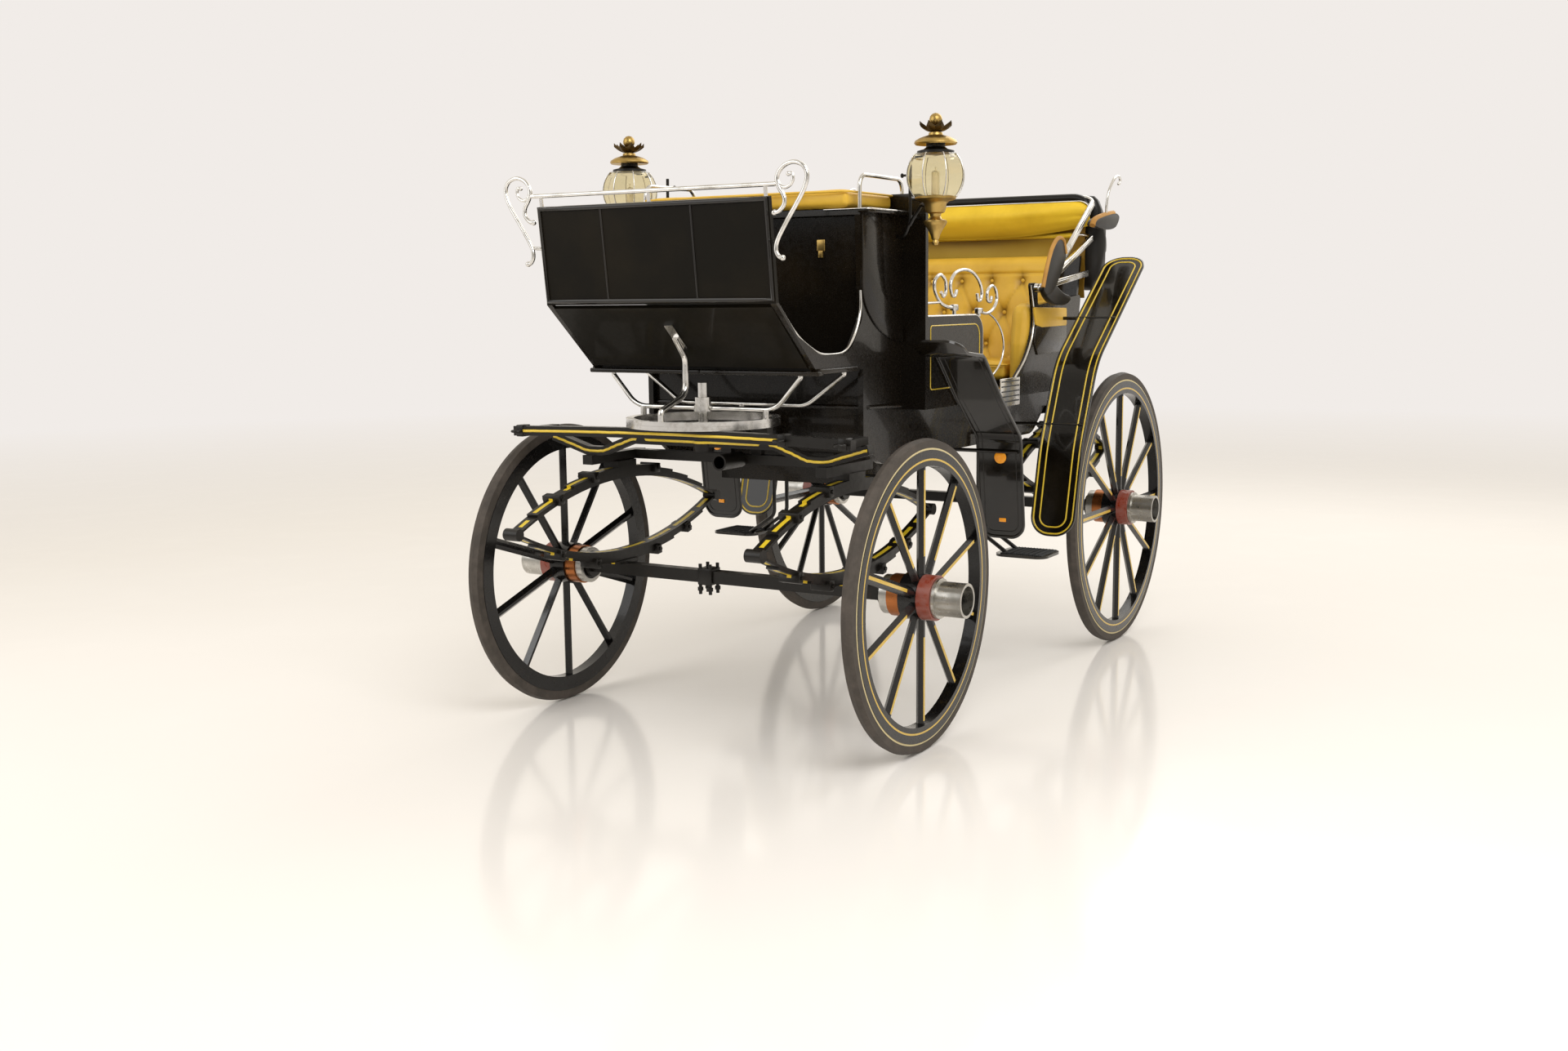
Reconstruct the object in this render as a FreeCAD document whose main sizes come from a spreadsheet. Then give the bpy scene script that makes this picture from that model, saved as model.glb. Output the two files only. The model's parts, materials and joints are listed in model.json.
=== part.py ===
import FreeCAD, Part
import Sketcher
import math
import operator
import os

# A horse-drawn carriage of the Victoria type: a coachman's box over a turning front carriage,
# an open body with a folded hood, and four wooden wheels. +X is forward, +Y the carriage's left,
# +Z up, and the origin lies on the ground below the middle of the whole carriage.
# All sizes are in millimetres.

doc = FreeCAD.newDocument("carriage")
sheet = doc.addObject("Spreadsheet::Sheet", "sizes")
Vec = FreeCAD.Vector


# ---------------------------------------------------------------- driving dimensions

SIZES = [
    # name, value
    ("front_axle_x", 926),
    ("rear_axle_x", -964),
    ("wheel_track", 1420),
    ("front_wheel_radius", 500),
    ("rear_wheel_radius", 560),
    ("tyre_width", 38),
    ("tyre_depth", 36),
    ("tyre_crown", 6),
    ("felloe_depth", 50),
    ("felloe_width", 42),
    ("spoke_width", 36),
    ("spoke_thickness", 26),
    ("front_spokes", 10),
    ("rear_spokes", 12),
    ("nave_radius", 74),
    ("nave_core_radius", 50),
    ("nave_inner_end", 119),
    ("nave_outer_end", 60),
    ("collar_length", 28),
    ("collar_radius", 63),
    ("inner_band_length", 42),
    ("inner_band_radius", 68),
    ("outer_band_length", 44),
    ("outer_band_radius", 72),
    ("cap_radius", 55),
    ("cap_flange_radius", 64),
    ("cap_flange_length", 12),
    ("cap_length", 100),
    ("cap_recess_depth", 56),
    ("cap_wall", 9),
    ("spindle_radius", 22),
    ("running_gap", 0.05),
    ("piece_gap", 1),
    ("side_gap", 2),
    ("axle_collar_radius", 42),
    ("axle_collar_length", 12),
    ("axle_nut_radius", 27),
    ("axle_nut_length", 16),
    ("axle_beam_height", 42),
    ("axle_beam_depth", 40),
    # springs
    ("spring_y", 455),
    ("front_spring_half_length", 578),
    ("rear_spring_half_length", 520),
    ("spring_rise", 130),
    ("leaf_width", 45),
    ("leaf_thickness", 8),
    ("leaf_count", 5),
    ("spring_eye_radius", 20),
    ("spring_seat", 8),
    ("block_length", 110),
    ("block_width", 60),
    ("block_height", 22),
    # turning front carriage
    ("king_pin_x", 1079),
    ("king_pin_radius", 16),
    ("king_pin_low", 945),
    ("king_pin_top", 1168),
    ("king_nut_radius", 26),
    ("king_nut_height", 24),
    ("ring_radius", 238),
    ("ring_width", 26),
    ("ring_thickness", 14),
    ("ring_low", 1030),
    ("turning_gap", 0.3),
    ("futchell_rear_x", 800),
    ("futchell_front_x", 1110),
    ("futchell_width", 40),
    ("futchell_height", 32),
    ("cross_bar_x", 820),
    ("cross_bar_depth", 40),
    ("bed_depth", 34),
    ("bed_height", 30),
    ("bed_drop", 45),
    ("bed_level_half_width", 280),
    ("bed_bend", 55),
    ("bed_boss_radius", 34),
    ("bed_boss_height", 60),
    ("bar_tie_inset", 45),
    ("bar_tie_width", 30),
    ("bar_tie_height", 24),
    ("ring_pad_y", 60),
    ("ring_pad_width", 40),
    ("ring_pad_depth", 24),
    ("bar_x", 1248),
    ("bar_half_width", 643),
    ("bar_depth", 34),
    ("bar_height", 32),
    ("bar_arch", 10),
    ("socket_radius", 27),
    ("socket_bore_radius", 21),
    ("socket_length", 130),
    ("socket_depth", 120),
    # body shell
    ("panel_thickness", 20),
    ("body_half_width", 430),
    ("upper_half_width", 515),
    ("body_front_x", 780),
    ("body_rear_x", -930),
    ("body_low_z", 880),
    ("floor_rise", 66),
    ("tail_rise_length", 230),
    ("nose_rise_length", 120),
    ("nose_rise", 90),
    ("belly_bend", 120),
    ("well_depth", 80),
    ("well_half_width", 230),
    ("well_front_x", 620),
    ("well_rear_x", -380),
    ("sill_top", 1085),
    ("sill_height", 30),
    # coachman's box
    ("boot_floor_z", 1205),
    ("toe_foot_x", 1082),
    ("toe_board_thickness", 14),
    ("dash_foot_x", 1321),
    ("dash_foot_z", 1422),
    ("dash_top_x", 1357),
    ("dash_top_z", 1730),
    ("dash_thickness", 16),
    ("dash_rail_rise", 34),
    ("cut_low_z", 1260),
    ("cut_front_x", 1202),
    ("cut_front_rise", 62),
    ("cut_rear_x", 870),
    ("cut_bend", 110),
    ("box_foot_setback", 40),
    ("box_front_x", 800),
    ("box_top_z", 1700),
    ("seat_lid_thickness", 20),
    ("bulkhead_x", 490),
    ("bulkhead_rise", 80),
    ("soft_gap", 0.3),
    ("driver_cushion_height", 62),
    ("driver_cushion_front_x", 838),
    ("rail_radius", 7),
    ("arm_rail_rise", 128),
    ("scroll_y", 497),
    ("scroll_height", 222),
    ("scroll_drop", 60),
    ("scroll_hold_drop", 130),
    ("scroll_sweep", 28),
    ("arm_bend", 40),
    ("rail_gap", 1),
    # jump seat
    ("side_panel_rear_x", 5),
    ("side_panel_top_z", 1370),
    ("panel_corner", 70),
    ("bulkhead_corner", 30),
    ("side_rail_rise", 116),
    ("side_rail_dip", 40),
    ("side_rail_bend", 60),
    ("bench_rear_x", 110),
    ("bench_overhang", 20),
    ("bench_thickness", 35),
    ("cushion_height", 70),
    # rear seat
    ("seat_front_x", -470),
    ("seat_back_foot_x", -860),
    ("seat_back_top_x", -950),
    ("seat_back_top_z", 1600),
    ("rear_panel_top_x", -1050),
    ("arm_inner_y", 410),
    ("arm_top_z", 1400),
    ("quarter_foot_x", -256),
    ("quarter_knee_x", -430),
    ("quarter_knee_z", 1195),
    ("quarter_neck_x", -520),
    ("quarter_neck_z", 1317),
    ("quarter_bend", 300),
    ("quarter_tail_rise", 40),
    ("pivot_ear_width", 24),
    ("back_toe", 50),
    ("pad_bend", 40),
    ("tail_board_gap", 14),
    # folded hood
    ("hood_pivot_x", -495),
    ("hood_pivot_z", 1466),
    ("pivot_pin_radius", 8),
    ("bow_gap", 10),
    ("bow_spacing", 20),
    ("bow_radius", 7),
    ("bow_ear_radius", 18),
    ("bow_ear_overlap", 4),
    ("bow_reach", 657),
    ("bow_step", 25),
    ("bow_bend", 60),
    ("bow_angle", 145.3),
    ("bow_fan", 14.2),
    ("leather_depth", 250),
    ("leather_cap", 26),
    ("leather_low_z", 1480),
    ("leather_bend", 60),
    ("roll_depth", 150),
    ("roll_thickness", 72),
    ("pivot_head", 8),
    ("pivot_head_radius", 14),
    # mudguards, fenders and steps
    ("guard_gap", 5),
    ("guard_width", 176),
    ("guard_thickness", 8),
    ("fender_gap", 65),
    ("fender_width", 176),
    ("stay_radius", 7),
    ("guard_corner", 55),
    ("fender_corner", 76),
    ("fender_knee_bend", 558),
    ("fender_waist_bend", 310),
    ("guard_front_x", 620),
    ("guard_front_z", 1292),
    ("guard_crest_x", 545),
    ("guard_crest_z", 1248),
    ("guard_edge_x", 402),
    ("guard_edge_z", 1234),
    ("guard_slope_x", 245),
    ("guard_slope_z", 1080),
    ("flap_top_x", 68),
    ("flap_top_z", 935),
    ("flap_foot_x", 22),
    ("flap_foot_z", 556),
    ("fender_foot_x", -309),
    ("fender_foot_z", 522),
    ("fender_knee_x", -400),
    ("fender_knee_z", 860),
    ("fender_waist_x", -560),
    ("fender_waist_z", 1180),
    ("fender_top_x", -1150),
    ("fender_top_z", 1590),
    ("step_z", 470),
    ("step_x", -160),
    ("step_length", 190),
    ("step_thickness", 10),
    ("step_gap", 15),
    ("step_width", 205),
    ("step_corner", 45),
    ("step_iron_top_z", 930),
    ("step_iron_knee_z", 560),
    ("step_iron_spacing", 100),
    # lamps
    ("lamp_x", 617),
    ("lamp_overhang", 95),
    ("lamp_rise", 124),
    ("lamp_glass_radius", 98),
    ("lamp_glass_wall", 4),
    ("lamp_cut_low", 68),
    ("lamp_cut_high", 76),
    ("lamp_stem_length", 126),
    ("lamp_neck_radius", 34),
    ("lamp_canopy_radius", 66),
    ("lamp_finial_radius", 26),
    ("lamp_crown_height", 128),
    ("lamp_candle_radius", 12),
    ("lamp_arm_inset", 25),
    # rear undercarriage
    ("rear_bar_height", 32),
    ("rear_bar_depth", 40),
    ("gusset_y", 370),
    ("gusset_width", 30),
    ("iron_radius", 8),
    ("iron_level_rise", 28),
    ("iron_bend", 50),
    ("iron_gap", 2),
    ("prop_radius", 10),
    ("hoop_bend", 90),
    ("front_iron_inset", 68),
    ("front_iron_knee_y", 270),
    ("rear_iron_inset", 38),
    ("rear_iron_knee_y", 250),
    ("iron_lug_radius", 10),
    ("pin_plate_radius", 30),
    ("pin_plate_thickness", 22),
    ("foot_iron_low", 120),
    ("foot_iron_high", 230),
    ("foot_iron_width", 32),
    ("foot_iron_sweep", 94),
]

for row, (name, value) in enumerate(SIZES, start=1):
    sheet.set("A%d" % row, name)
    sheet.set("B%d" % row, str(value))
    sheet.setAlias("B%d" % row, name)
doc.recompute()


class Size(float):
    """A number that keeps the sheet expression it was worked out with."""

    def __new__(cls, value, text):
        size = super().__new__(cls, value)
        size.text = text
        return size

    def __neg__(self):
        return Size(-float(self), "(0 - %s)" % self.text)


def text_of(value):
    return value.text if isinstance(value, Size) else repr(float(value))


def arithmetic(sign, work, swapped):
    def result(first, second):
        left, right = (second, first) if swapped else (first, second)
        return Size(work(float(left), float(right)), "(%s %s %s)" % (text_of(left), sign, text_of(right)))
    return result


for word, sign, work in (("add", "+", operator.add), ("sub", "-", operator.sub),
                         ("mul", "*", operator.mul), ("truediv", "/", operator.truediv)):
    setattr(Size, "__%s__" % word, arithmetic(sign, work, False))
    setattr(Size, "__r%s__" % word, arithmetic(sign, work, True))


class Sheet:
    """The sheet's cells by name."""

    def __getattr__(self, name):
        return Size(sheet.get(name), "sizes." + name)


at = Sheet()
nodes = []


def node(piece, name):
    """Counts a finished piece as a sub-part of the carriage."""
    piece.Label = name
    nodes.append(piece)
    return piece


# ---------------------------------------------------------------- bound primitives

def bind(piece, **values):
    for name, value in values.items():
        piece.setExpression(name.replace("__", "."), text_of(value))
    return piece


def put(piece, x, y, z):
    return bind(piece, Placement__Base__x=x, Placement__Base__y=y, Placement__Base__z=z)


def box(name, low, high):
    piece = doc.addObject("Part::Box", name)
    bind(piece, Length=high[0] - low[0], Width=high[1] - low[1], Height=high[2] - low[2])
    return put(piece, *low)


TURNS = {
    "x": FreeCAD.Rotation(Vec(0, 1, 0), 90),
    "y": FreeCAD.Rotation(Vec(1, 0, 0), -90),
    "z": FreeCAD.Rotation(),
}


def cylinder(name, axis, radius, length, foot):
    """A round bar that starts at foot and runs along the axis."""
    piece = doc.addObject("Part::Cylinder", name)
    piece.Placement.Rotation = TURNS[axis]
    bind(piece, Radius=radius, Height=length)
    return put(piece, *foot)


def fused(name, pieces):
    piece = doc.addObject("Part::MultiFuse", name)
    piece.Shapes = pieces
    piece.Refine = True
    return piece


def cut(name, base, tool):
    piece = doc.addObject("Part::Cut", name)
    piece.Base = base
    piece.Tool = tool
    return piece


def gathered(name, pieces):
    """Pieces that stay separate solids of one sub-part."""
    piece = doc.addObject("Part::Compound", name)
    piece.Links = pieces
    return piece


# ---------------------------------------------------------------- sketches and bodies

def body_plane(body, role):
    return next(plane for plane in body.Origin.OriginFeatures if plane.Role == role)


def sketch(body, name, role, corners):
    """A closed outline of straight sides, every corner held by the sheet."""
    drawing = body.newObject("Sketcher::SketchObject", name)
    drawing.AttachmentSupport = [(body_plane(body, role), "")]
    drawing.MapMode = "FlatFace"
    count = len(corners)
    for i, corner in enumerate(corners):
        following = corners[(i + 1) % count]
        drawing.addGeometry(Part.LineSegment(Vec(*corner, 0), Vec(*following, 0)), False)
    for i in range(count):
        drawing.addConstraint(Sketcher.Constraint("Coincident", i, 2, (i + 1) % count, 1))
    for i, corner in enumerate(corners):
        for kind, value in zip(("DistanceX", "DistanceY"), corner):
            index = drawing.addConstraint(Sketcher.Constraint(kind, -1, 1, i, 1, float(value)))
            if isinstance(value, Size):
                drawing.setExpression("Constraints[%d]" % index, value.text)
    return drawing


def turned(body, name, corners, kind="PartDesign::Revolution"):
    """A solid of revolution about the body's Y axis from corners (y, radius), added or cut away."""
    outline = sketch(body, name + "_outline", "YZ_Plane", corners)
    feature = body.newObject(kind, name)
    feature.Profile = outline
    feature.ReferenceAxis = (outline, ["H_Axis"])
    feature.Angle = 360
    outline.Visibility = False
    return feature


# ---------------------------------------------------------------- curved outlines

def rounded(points, closed=False):
    """A wire through points (vector, radius): straight runs joined by tangent arcs."""
    count = len(points)
    joints = []
    for i, (corner, radius) in enumerate(points):
        if not radius or (not closed and i in (0, count - 1)):
            joints.append((corner, None, corner))
            continue
        before = (points[i - 1][0] - corner).normalize()
        after = (points[(i + 1) % count][0] - corner).normalize()
        half = before.getAngle(after) / 2
        reach = radius / math.tan(half)
        inward = (before + after).normalize()
        middle = corner + inward * (radius / math.sin(half) - radius)
        joints.append((corner + before * reach, middle, corner + after * reach))
    edges = []
    for i, (start, middle, end) in enumerate(joints):
        if middle is not None:
            edges.append(Part.Arc(start, middle, end).toShape())
        if closed or i < count - 1:
            following = joints[(i + 1) % count][0]
            if (following - end).Length > 0.001:
                edges.append(Part.LineSegment(end, following).toShape())
    return Part.Wire(edges)


LIFTS = {
    "x": (lambda u, v: Vec(0, u, v), Vec(1, 0, 0)),
    "y": (lambda u, v: Vec(u, 0, v), Vec(0, 1, 0)),
    "z": (lambda u, v: Vec(u, v, 0), Vec(0, 0, 1)),
}


def slab(corners, normal, low, high):
    """The closed outline of corners (u, v) or (u, v, radius), filled from low to high."""
    lift, along = LIFTS[normal]
    points = [(lift(c[0], c[1]) + along * low, c[2] if len(c) > 2 else 0) for c in corners]
    return Part.Face(rounded(points, closed=True)).extrude(along * (high - low))


def strip(path, thickness):
    """The closed outline of a band of even thickness along an open path of (u, v, radius)."""
    count = len(path)
    left, right = [], []
    for i, (u, v, radius) in enumerate(path):
        here = Vec(u, v, 0)
        runs = []
        if i > 0:
            runs.append((here - Vec(path[i - 1][0], path[i - 1][1], 0)).normalize())
        if i < count - 1:
            runs.append((Vec(path[i + 1][0], path[i + 1][1], 0) - here).normalize())
        sides = [Vec(-run.y, run.x, 0) for run in runs]
        side = (sides[0] + sides[-1]).normalize()
        reach = thickness / 2 / side.dot(sides[0])
        turn = runs[0].cross(runs[-1]).z
        grow = math.copysign(thickness / 2, turn) if radius else 0
        outer, inner = here + side * reach, here - side * reach
        left.append((outer.x, outer.y, radius - grow if radius else 0))
        right.append((inner.x, inner.y, radius + grow if radius else 0))
    return left + right[::-1]


def arch(half_length, rise, length=None):
    """An arc path over the middle of a chord; length shortens it about its middle."""
    radius = (half_length ** 2 + rise ** 2) / (2 * rise)
    half = math.asin((length or half_length) / radius)
    centre = rise - radius
    end_u, end_v = radius * math.sin(half), centre + radius * math.cos(half)
    return [(-end_u, end_v, 0), (0, centre + radius / math.cos(half), radius), (end_u, end_v, 0)]


def rod(points, radius):
    """A round bar along points (x, y, z, bend radius)."""
    path = rounded([(Vec(*point[:3]), point[3] if len(point) > 3 else 0) for point in points])
    start = Vec(*points[0][:3])
    along = Vec(*points[1][:3]) - start
    profile = Part.Wire([Part.makeCircle(radius, start, along)])
    return path.makePipeShell([profile], True, False)


def made(name, shapes, joined=True):
    """A sub-part whose shape is worked out above; joined makes its pieces one solid."""
    shapes = list(shapes)
    whole = shapes[0]
    if len(shapes) > 1:
        whole = whole.fuse(shapes[1:]).removeSplitter() if joined else Part.makeCompound(shapes)
    piece = doc.addObject("Part::Feature", name)
    piece.Shape = whole
    return node(piece, name)


SIDES = (("left", 1), ("right", -1))


# ---------------------------------------------------------------- wheels

def wheel(name, axle_x, radius, spokes, side):
    """Tyre, wooden wheel and hub metal, one above the other from the ground up."""
    place = (axle_x, side * (at.wheel_track / 2), radius)
    rim = radius - at.tyre_depth

    tyre = doc.addObject("PartDesign::Body", name + "_tyre")
    half, edge = at.tyre_width / 2, radius - at.tyre_crown
    turned(tyre, name + "_tyre_ring", [(-half, rim), (half, rim), (half, edge), (0, radius), (-half, edge)])
    put(node(tyre, name + "_tyre"), *place)

    wood = doc.addObject("PartDesign::Body", name + "_wood")
    bore = at.spindle_radius + at.running_gap
    inner, outer = -side * at.nave_inner_end, side * at.nave_outer_end
    drum_low = inner + side * (at.collar_length + at.inner_band_length + 2 * at.piece_gap)
    drum_high = outer - side * (at.outer_band_length + 2 * at.piece_gap)
    turned(wood, name + "_nave", [
        (inner, 0), (outer, 0), (outer, at.nave_core_radius), (drum_high, at.nave_core_radius),
        (drum_high, at.nave_radius), (drum_low, at.nave_radius), (drum_low, at.nave_core_radius),
        (inner, at.nave_core_radius)])
    wide, thick = at.spoke_width / 2, at.spoke_thickness / 2
    section = sketch(wood, name + "_spoke_section", "XY_Plane", [
        (-wide, 0), (thick - wide, -thick), (wide - thick, -thick), (wide, 0),
        (wide - thick, thick), (thick - wide, thick)])
    spoke = wood.newObject("PartDesign::Pad", name + "_spoke")
    spoke.Profile = section
    bind(spoke, Length=rim - at.felloe_depth / 2)
    around = wood.newObject("PartDesign::PolarPattern", name + "_spokes")
    around.Originals = [spoke]
    around.Axis = (section, ["V_Axis"])
    around.Angle = 360
    bind(around, Occurrences=spokes)
    wood.Tip = around
    turned(wood, name + "_felloe", [
        (-at.felloe_width / 2, rim - at.felloe_depth), (at.felloe_width / 2, rim - at.felloe_depth),
        (at.felloe_width / 2, rim), (-at.felloe_width / 2, rim)])
    turned(wood, name + "_bore", [(inner, 0), (outer, 0), (outer, bore), (inner, bore)],
           "PartDesign::Groove")
    put(node(wood, name + "_wood"), *place)

    # collar, inner band, outer band and hollow cap, as rings round the nave's core and beyond its end
    rings = []
    cap_end = outer + side * at.cap_length
    recess = cap_end - side * at.cap_recess_depth
    flange = outer + side * at.cap_flange_length
    core, hollow = at.nave_core_radius, at.cap_radius - at.cap_wall
    collar_end = inner + side * at.collar_length
    band_start = collar_end + side * at.piece_gap
    band_end = band_start + side * at.inner_band_length
    red_start = drum_high + side * at.piece_gap
    red_end = red_start + side * at.outer_band_length
    tables = (
        ("collar", [(inner, core), (collar_end, core), (collar_end, at.collar_radius),
                    (inner, at.collar_radius)]),
        ("inner_band", [(band_start, core), (band_end, core), (band_end, at.inner_band_radius),
                        (band_start, at.inner_band_radius)]),
        ("outer_band", [(red_start, core), (red_end, core), (red_end, at.outer_band_radius),
                        (red_start, at.outer_band_radius)]),
        ("cap", [(outer, bore), (recess, bore), (recess, hollow), (cap_end, hollow),
                 (cap_end, at.cap_radius), (flange, at.cap_radius), (flange, at.cap_flange_radius),
                 (outer, at.cap_flange_radius)]),
    )
    for part, corners in tables:
        ring = doc.addObject("PartDesign::Body", "%s_%s" % (name, part))
        turned(ring, "%s_%s_ring" % (name, part), corners)
        put(ring, *place)
        rings.append(ring)
    node(gathered(name + "_hub", rings), name + "_hub")


WHEELS = [
    # end, axle, radius, spokes, half the spring's length
    ("front", at.front_axle_x, at.front_wheel_radius, at.front_spokes, at.front_spring_half_length),
    ("rear", at.rear_axle_x, at.rear_wheel_radius, at.rear_spokes, at.rear_spring_half_length),
]


def axle(end, axle_x, height):
    """A square beam with a round spindle, collar and nut at each end."""
    half_track = at.wheel_track / 2
    beam_end = half_track - at.nave_inner_end - at.side_gap
    pieces = [box(end + "_axle_beam",
                  (axle_x - at.axle_beam_depth / 2, -beam_end, height - at.axle_beam_height / 2),
                  (axle_x + at.axle_beam_depth / 2, beam_end, height + at.axle_beam_height / 2))]
    spindle_end = half_track + at.nave_outer_end + at.cap_length - at.cap_recess_depth + at.side_gap
    for label, side in SIDES:
        low = beam_end if side > 0 else -spindle_end
        pieces.append(cylinder("%s_spindle_%s" % (end, label), "y", at.spindle_radius,
                               spindle_end - beam_end, (axle_x, low, height)))
        low = beam_end - at.axle_collar_length if side > 0 else -beam_end
        pieces.append(cylinder("%s_axle_collar_%s" % (end, label), "y", at.axle_collar_radius,
                               at.axle_collar_length, (axle_x, low, height)))
        low = spindle_end if side > 0 else -spindle_end - at.axle_nut_length
        pieces.append(cylinder("%s_axle_nut_%s" % (end, label), "y", at.axle_nut_radius,
                               at.axle_nut_length, (axle_x, low, height)))
    node(fused(end + "_axle", pieces), end + "_axle")


# ---------------------------------------------------------------- springs

def half_spring(half_length):
    """The upper half of an elliptic spring about its eyes, its leaves shorter towards the top."""
    leaves = []
    main_radius = (half_length ** 2 + at.spring_rise ** 2) / (2 * at.spring_rise)
    centre = at.spring_rise - main_radius
    for i in range(int(at.leaf_count)):
        radius = main_radius + i * at.leaf_thickness
        half = math.asin(half_length * (1 - i / (at.leaf_count + 1)) / radius)
        path = [(-radius * math.sin(half), centre + radius * math.cos(half), 0),
                (0, centre + radius / math.cos(half), radius),
                (radius * math.sin(half), centre + radius * math.cos(half), 0)]
        leaves.append(slab(strip(path, at.leaf_thickness), "y", -at.leaf_width / 2, at.leaf_width / 2))
    return leaves[0].fuse(leaves[1:]).removeSplitter()


def spring_heights(wheel_radius):
    """Eye height and the height of the upper half's top."""
    half_height = at.spring_rise + (at.leaf_count - 0.5) * at.leaf_thickness
    eye = wheel_radius + at.axle_beam_height / 2 + at.spring_seat + half_height
    return eye, eye + half_height


def springs(end, axle_x, wheel_radius, half_length):
    eye_z = spring_heights(wheel_radius)[0]
    upper = half_spring(half_length)
    lower = upper.mirror(Vec(0, 0, 0), Vec(0, 0, 1))
    eye_length = at.leaf_width + 10
    eyes = [Part.makeCylinder(at.spring_eye_radius, eye_length, Vec(x, -eye_length / 2, 0), Vec(0, 1, 0))
            for x in (-half_length, half_length)]
    seat_z = wheel_radius + at.axle_beam_height / 2 - eye_z
    seat = Part.makeBox(at.block_length, at.block_width, at.spring_seat + at.leaf_thickness / 2,
                        Vec(-at.block_length / 2, -at.block_width / 2, seat_z))
    whole = upper.fuse([lower, seat] + eyes).removeSplitter()
    pair = []
    for label, side in SIDES:
        placed = whole.copy()
        placed.translate(Vec(axle_x, side * at.spring_y, eye_z))
        pair.append(placed)
    made(end + "_springs", pair, joined=False)


# ---------------------------------------------------------------- turning front carriage

def front_carriage():
    top = spring_heights(at.front_wheel_radius)[1]
    block_top = top + at.block_height
    futchells = []
    for label, side in SIDES:
        blocks = box("spring_block_" + label,
                     (at.front_axle_x - at.block_length / 2, side * at.spring_y - at.block_width / 2, top),
                     (at.front_axle_x + at.block_length / 2, side * at.spring_y + at.block_width / 2,
                      block_top))
        beam = box("futchell_beam_" + label,
                   (at.futchell_rear_x, side * at.spring_y - at.futchell_width / 2, block_top),
                   (at.futchell_front_x, side * at.spring_y + at.futchell_width / 2,
                    block_top + at.futchell_height))
        futchells.append(fused("futchell_" + label, [blocks, beam]))
    node(gathered("futchells", futchells), "futchells")

    # cross bar between the futchells, with the pads that carry the ring at the back
    inner = at.spring_y - at.futchell_width / 2
    bar_top = block_top + at.futchell_height
    pieces = [box("cross_bar_beam", (at.cross_bar_x, -inner, block_top),
                  (at.cross_bar_x + at.cross_bar_depth, inner, bar_top))]
    ring_back = at.king_pin_x - at.ring_radius
    for label, side in SIDES:
        pad_y = side * at.ring_pad_y
        pieces.append(box("ring_pad_" + label,
                          (ring_back - at.ring_pad_depth / 2, pad_y - at.ring_pad_width / 2, bar_top),
                          (ring_back + at.ring_pad_depth / 2, pad_y + at.ring_pad_width / 2, at.ring_low)))
    node(fused("cross_bar", pieces), "cross_bar")

    # bed: level over the middle, dipping to the futchells, rising forward to the splinter bar
    dip_z = block_top + at.futchell_height + at.bed_height / 2
    level_z = dip_z + at.bed_drop
    dip_end, tip = at.spring_y + at.bed_bend / 5, at.bar_half_width - at.bed_height
    half_path = [(at.bed_level_half_width, level_z, at.bed_bend),
                 (at.spring_y - at.bed_bend, dip_z, at.bed_bend),
                 (dip_end, dip_z, at.bed_bend), (tip, level_z, 0)]
    path = [(-u, v, r) for u, v, r in half_path[::-1]] + half_path
    low, high = at.king_pin_x - at.bed_depth / 2, at.king_pin_x + at.bed_depth / 2
    bed = slab(strip(path, at.bed_height), "x", low, high)
    pads = []
    for label, side in SIDES:
        pads.append(Part.makeBox(at.bed_depth, at.bed_height, at.ring_low - level_z,
                                 Vec(low, side * at.ring_radius - at.bed_height / 2, level_z)))
    boss = Part.makeCylinder(at.bed_boss_radius, at.bed_boss_height,
                             Vec(at.king_pin_x, 0, level_z - at.bed_boss_height / 2))
    bore = Part.makeCylinder(at.king_pin_radius + at.running_gap, 2 * at.bed_boss_height,
                             Vec(at.king_pin_x, 0, level_z - at.bed_boss_height))
    bed = bed.fuse(pads + [boss]).removeSplitter().cut(bore)
    made("bed", [bed])

    # splinter bar in front, arched up to the ring, its ends tied back to the bed
    arc = arch(at.bar_half_width, at.bar_arch)
    bar_z = at.ring_low - at.bar_height / 2 - at.bar_arch
    path = [(u, v + bar_z, r) for u, v, r in arc]
    bar = slab(strip(path, at.bar_height), "x", at.bar_x - at.bar_depth / 2, at.bar_x + at.bar_depth / 2)
    ties = []
    for label, side in SIDES:
        tie_y = side * (at.bar_half_width - at.bar_tie_inset) - at.bar_tie_width / 2
        ties.append(Part.makeBox(at.bar_x - high, at.bar_tie_width, at.bar_tie_height,
                                 Vec(high, tie_y, bar_z - at.bar_tie_height / 2)))
    made("splinter_bar", [bar] + ties)

    # lower ring of the fifth wheel
    outer, inner = at.ring_radius + at.ring_width / 2, at.ring_radius - at.ring_width / 2
    disc = cylinder("lower_ring_disc", "z", outer, at.ring_thickness, (at.king_pin_x, 0, at.ring_low))
    hole = cylinder("lower_ring_hole", "z", inner, at.ring_thickness, (at.king_pin_x, 0, at.ring_low))
    node(cut("fifth_wheel_lower", disc, hole), "fifth_wheel_lower")

    # socket for the pole, open to the front
    socket_z = block_top + at.futchell_height / 2
    start = at.cross_bar_x + at.cross_bar_depth
    tube = cylinder("socket_tube", "x", at.socket_radius, at.socket_length, (start, 0, socket_z))
    void = cylinder("socket_void", "x", at.socket_bore_radius, at.socket_depth,
                    (start + at.socket_length - at.socket_depth, 0, socket_z))
    node(cut("pole_socket", tube, void), "pole_socket")


# ---------------------------------------------------------------- irons between body and ring

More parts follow.
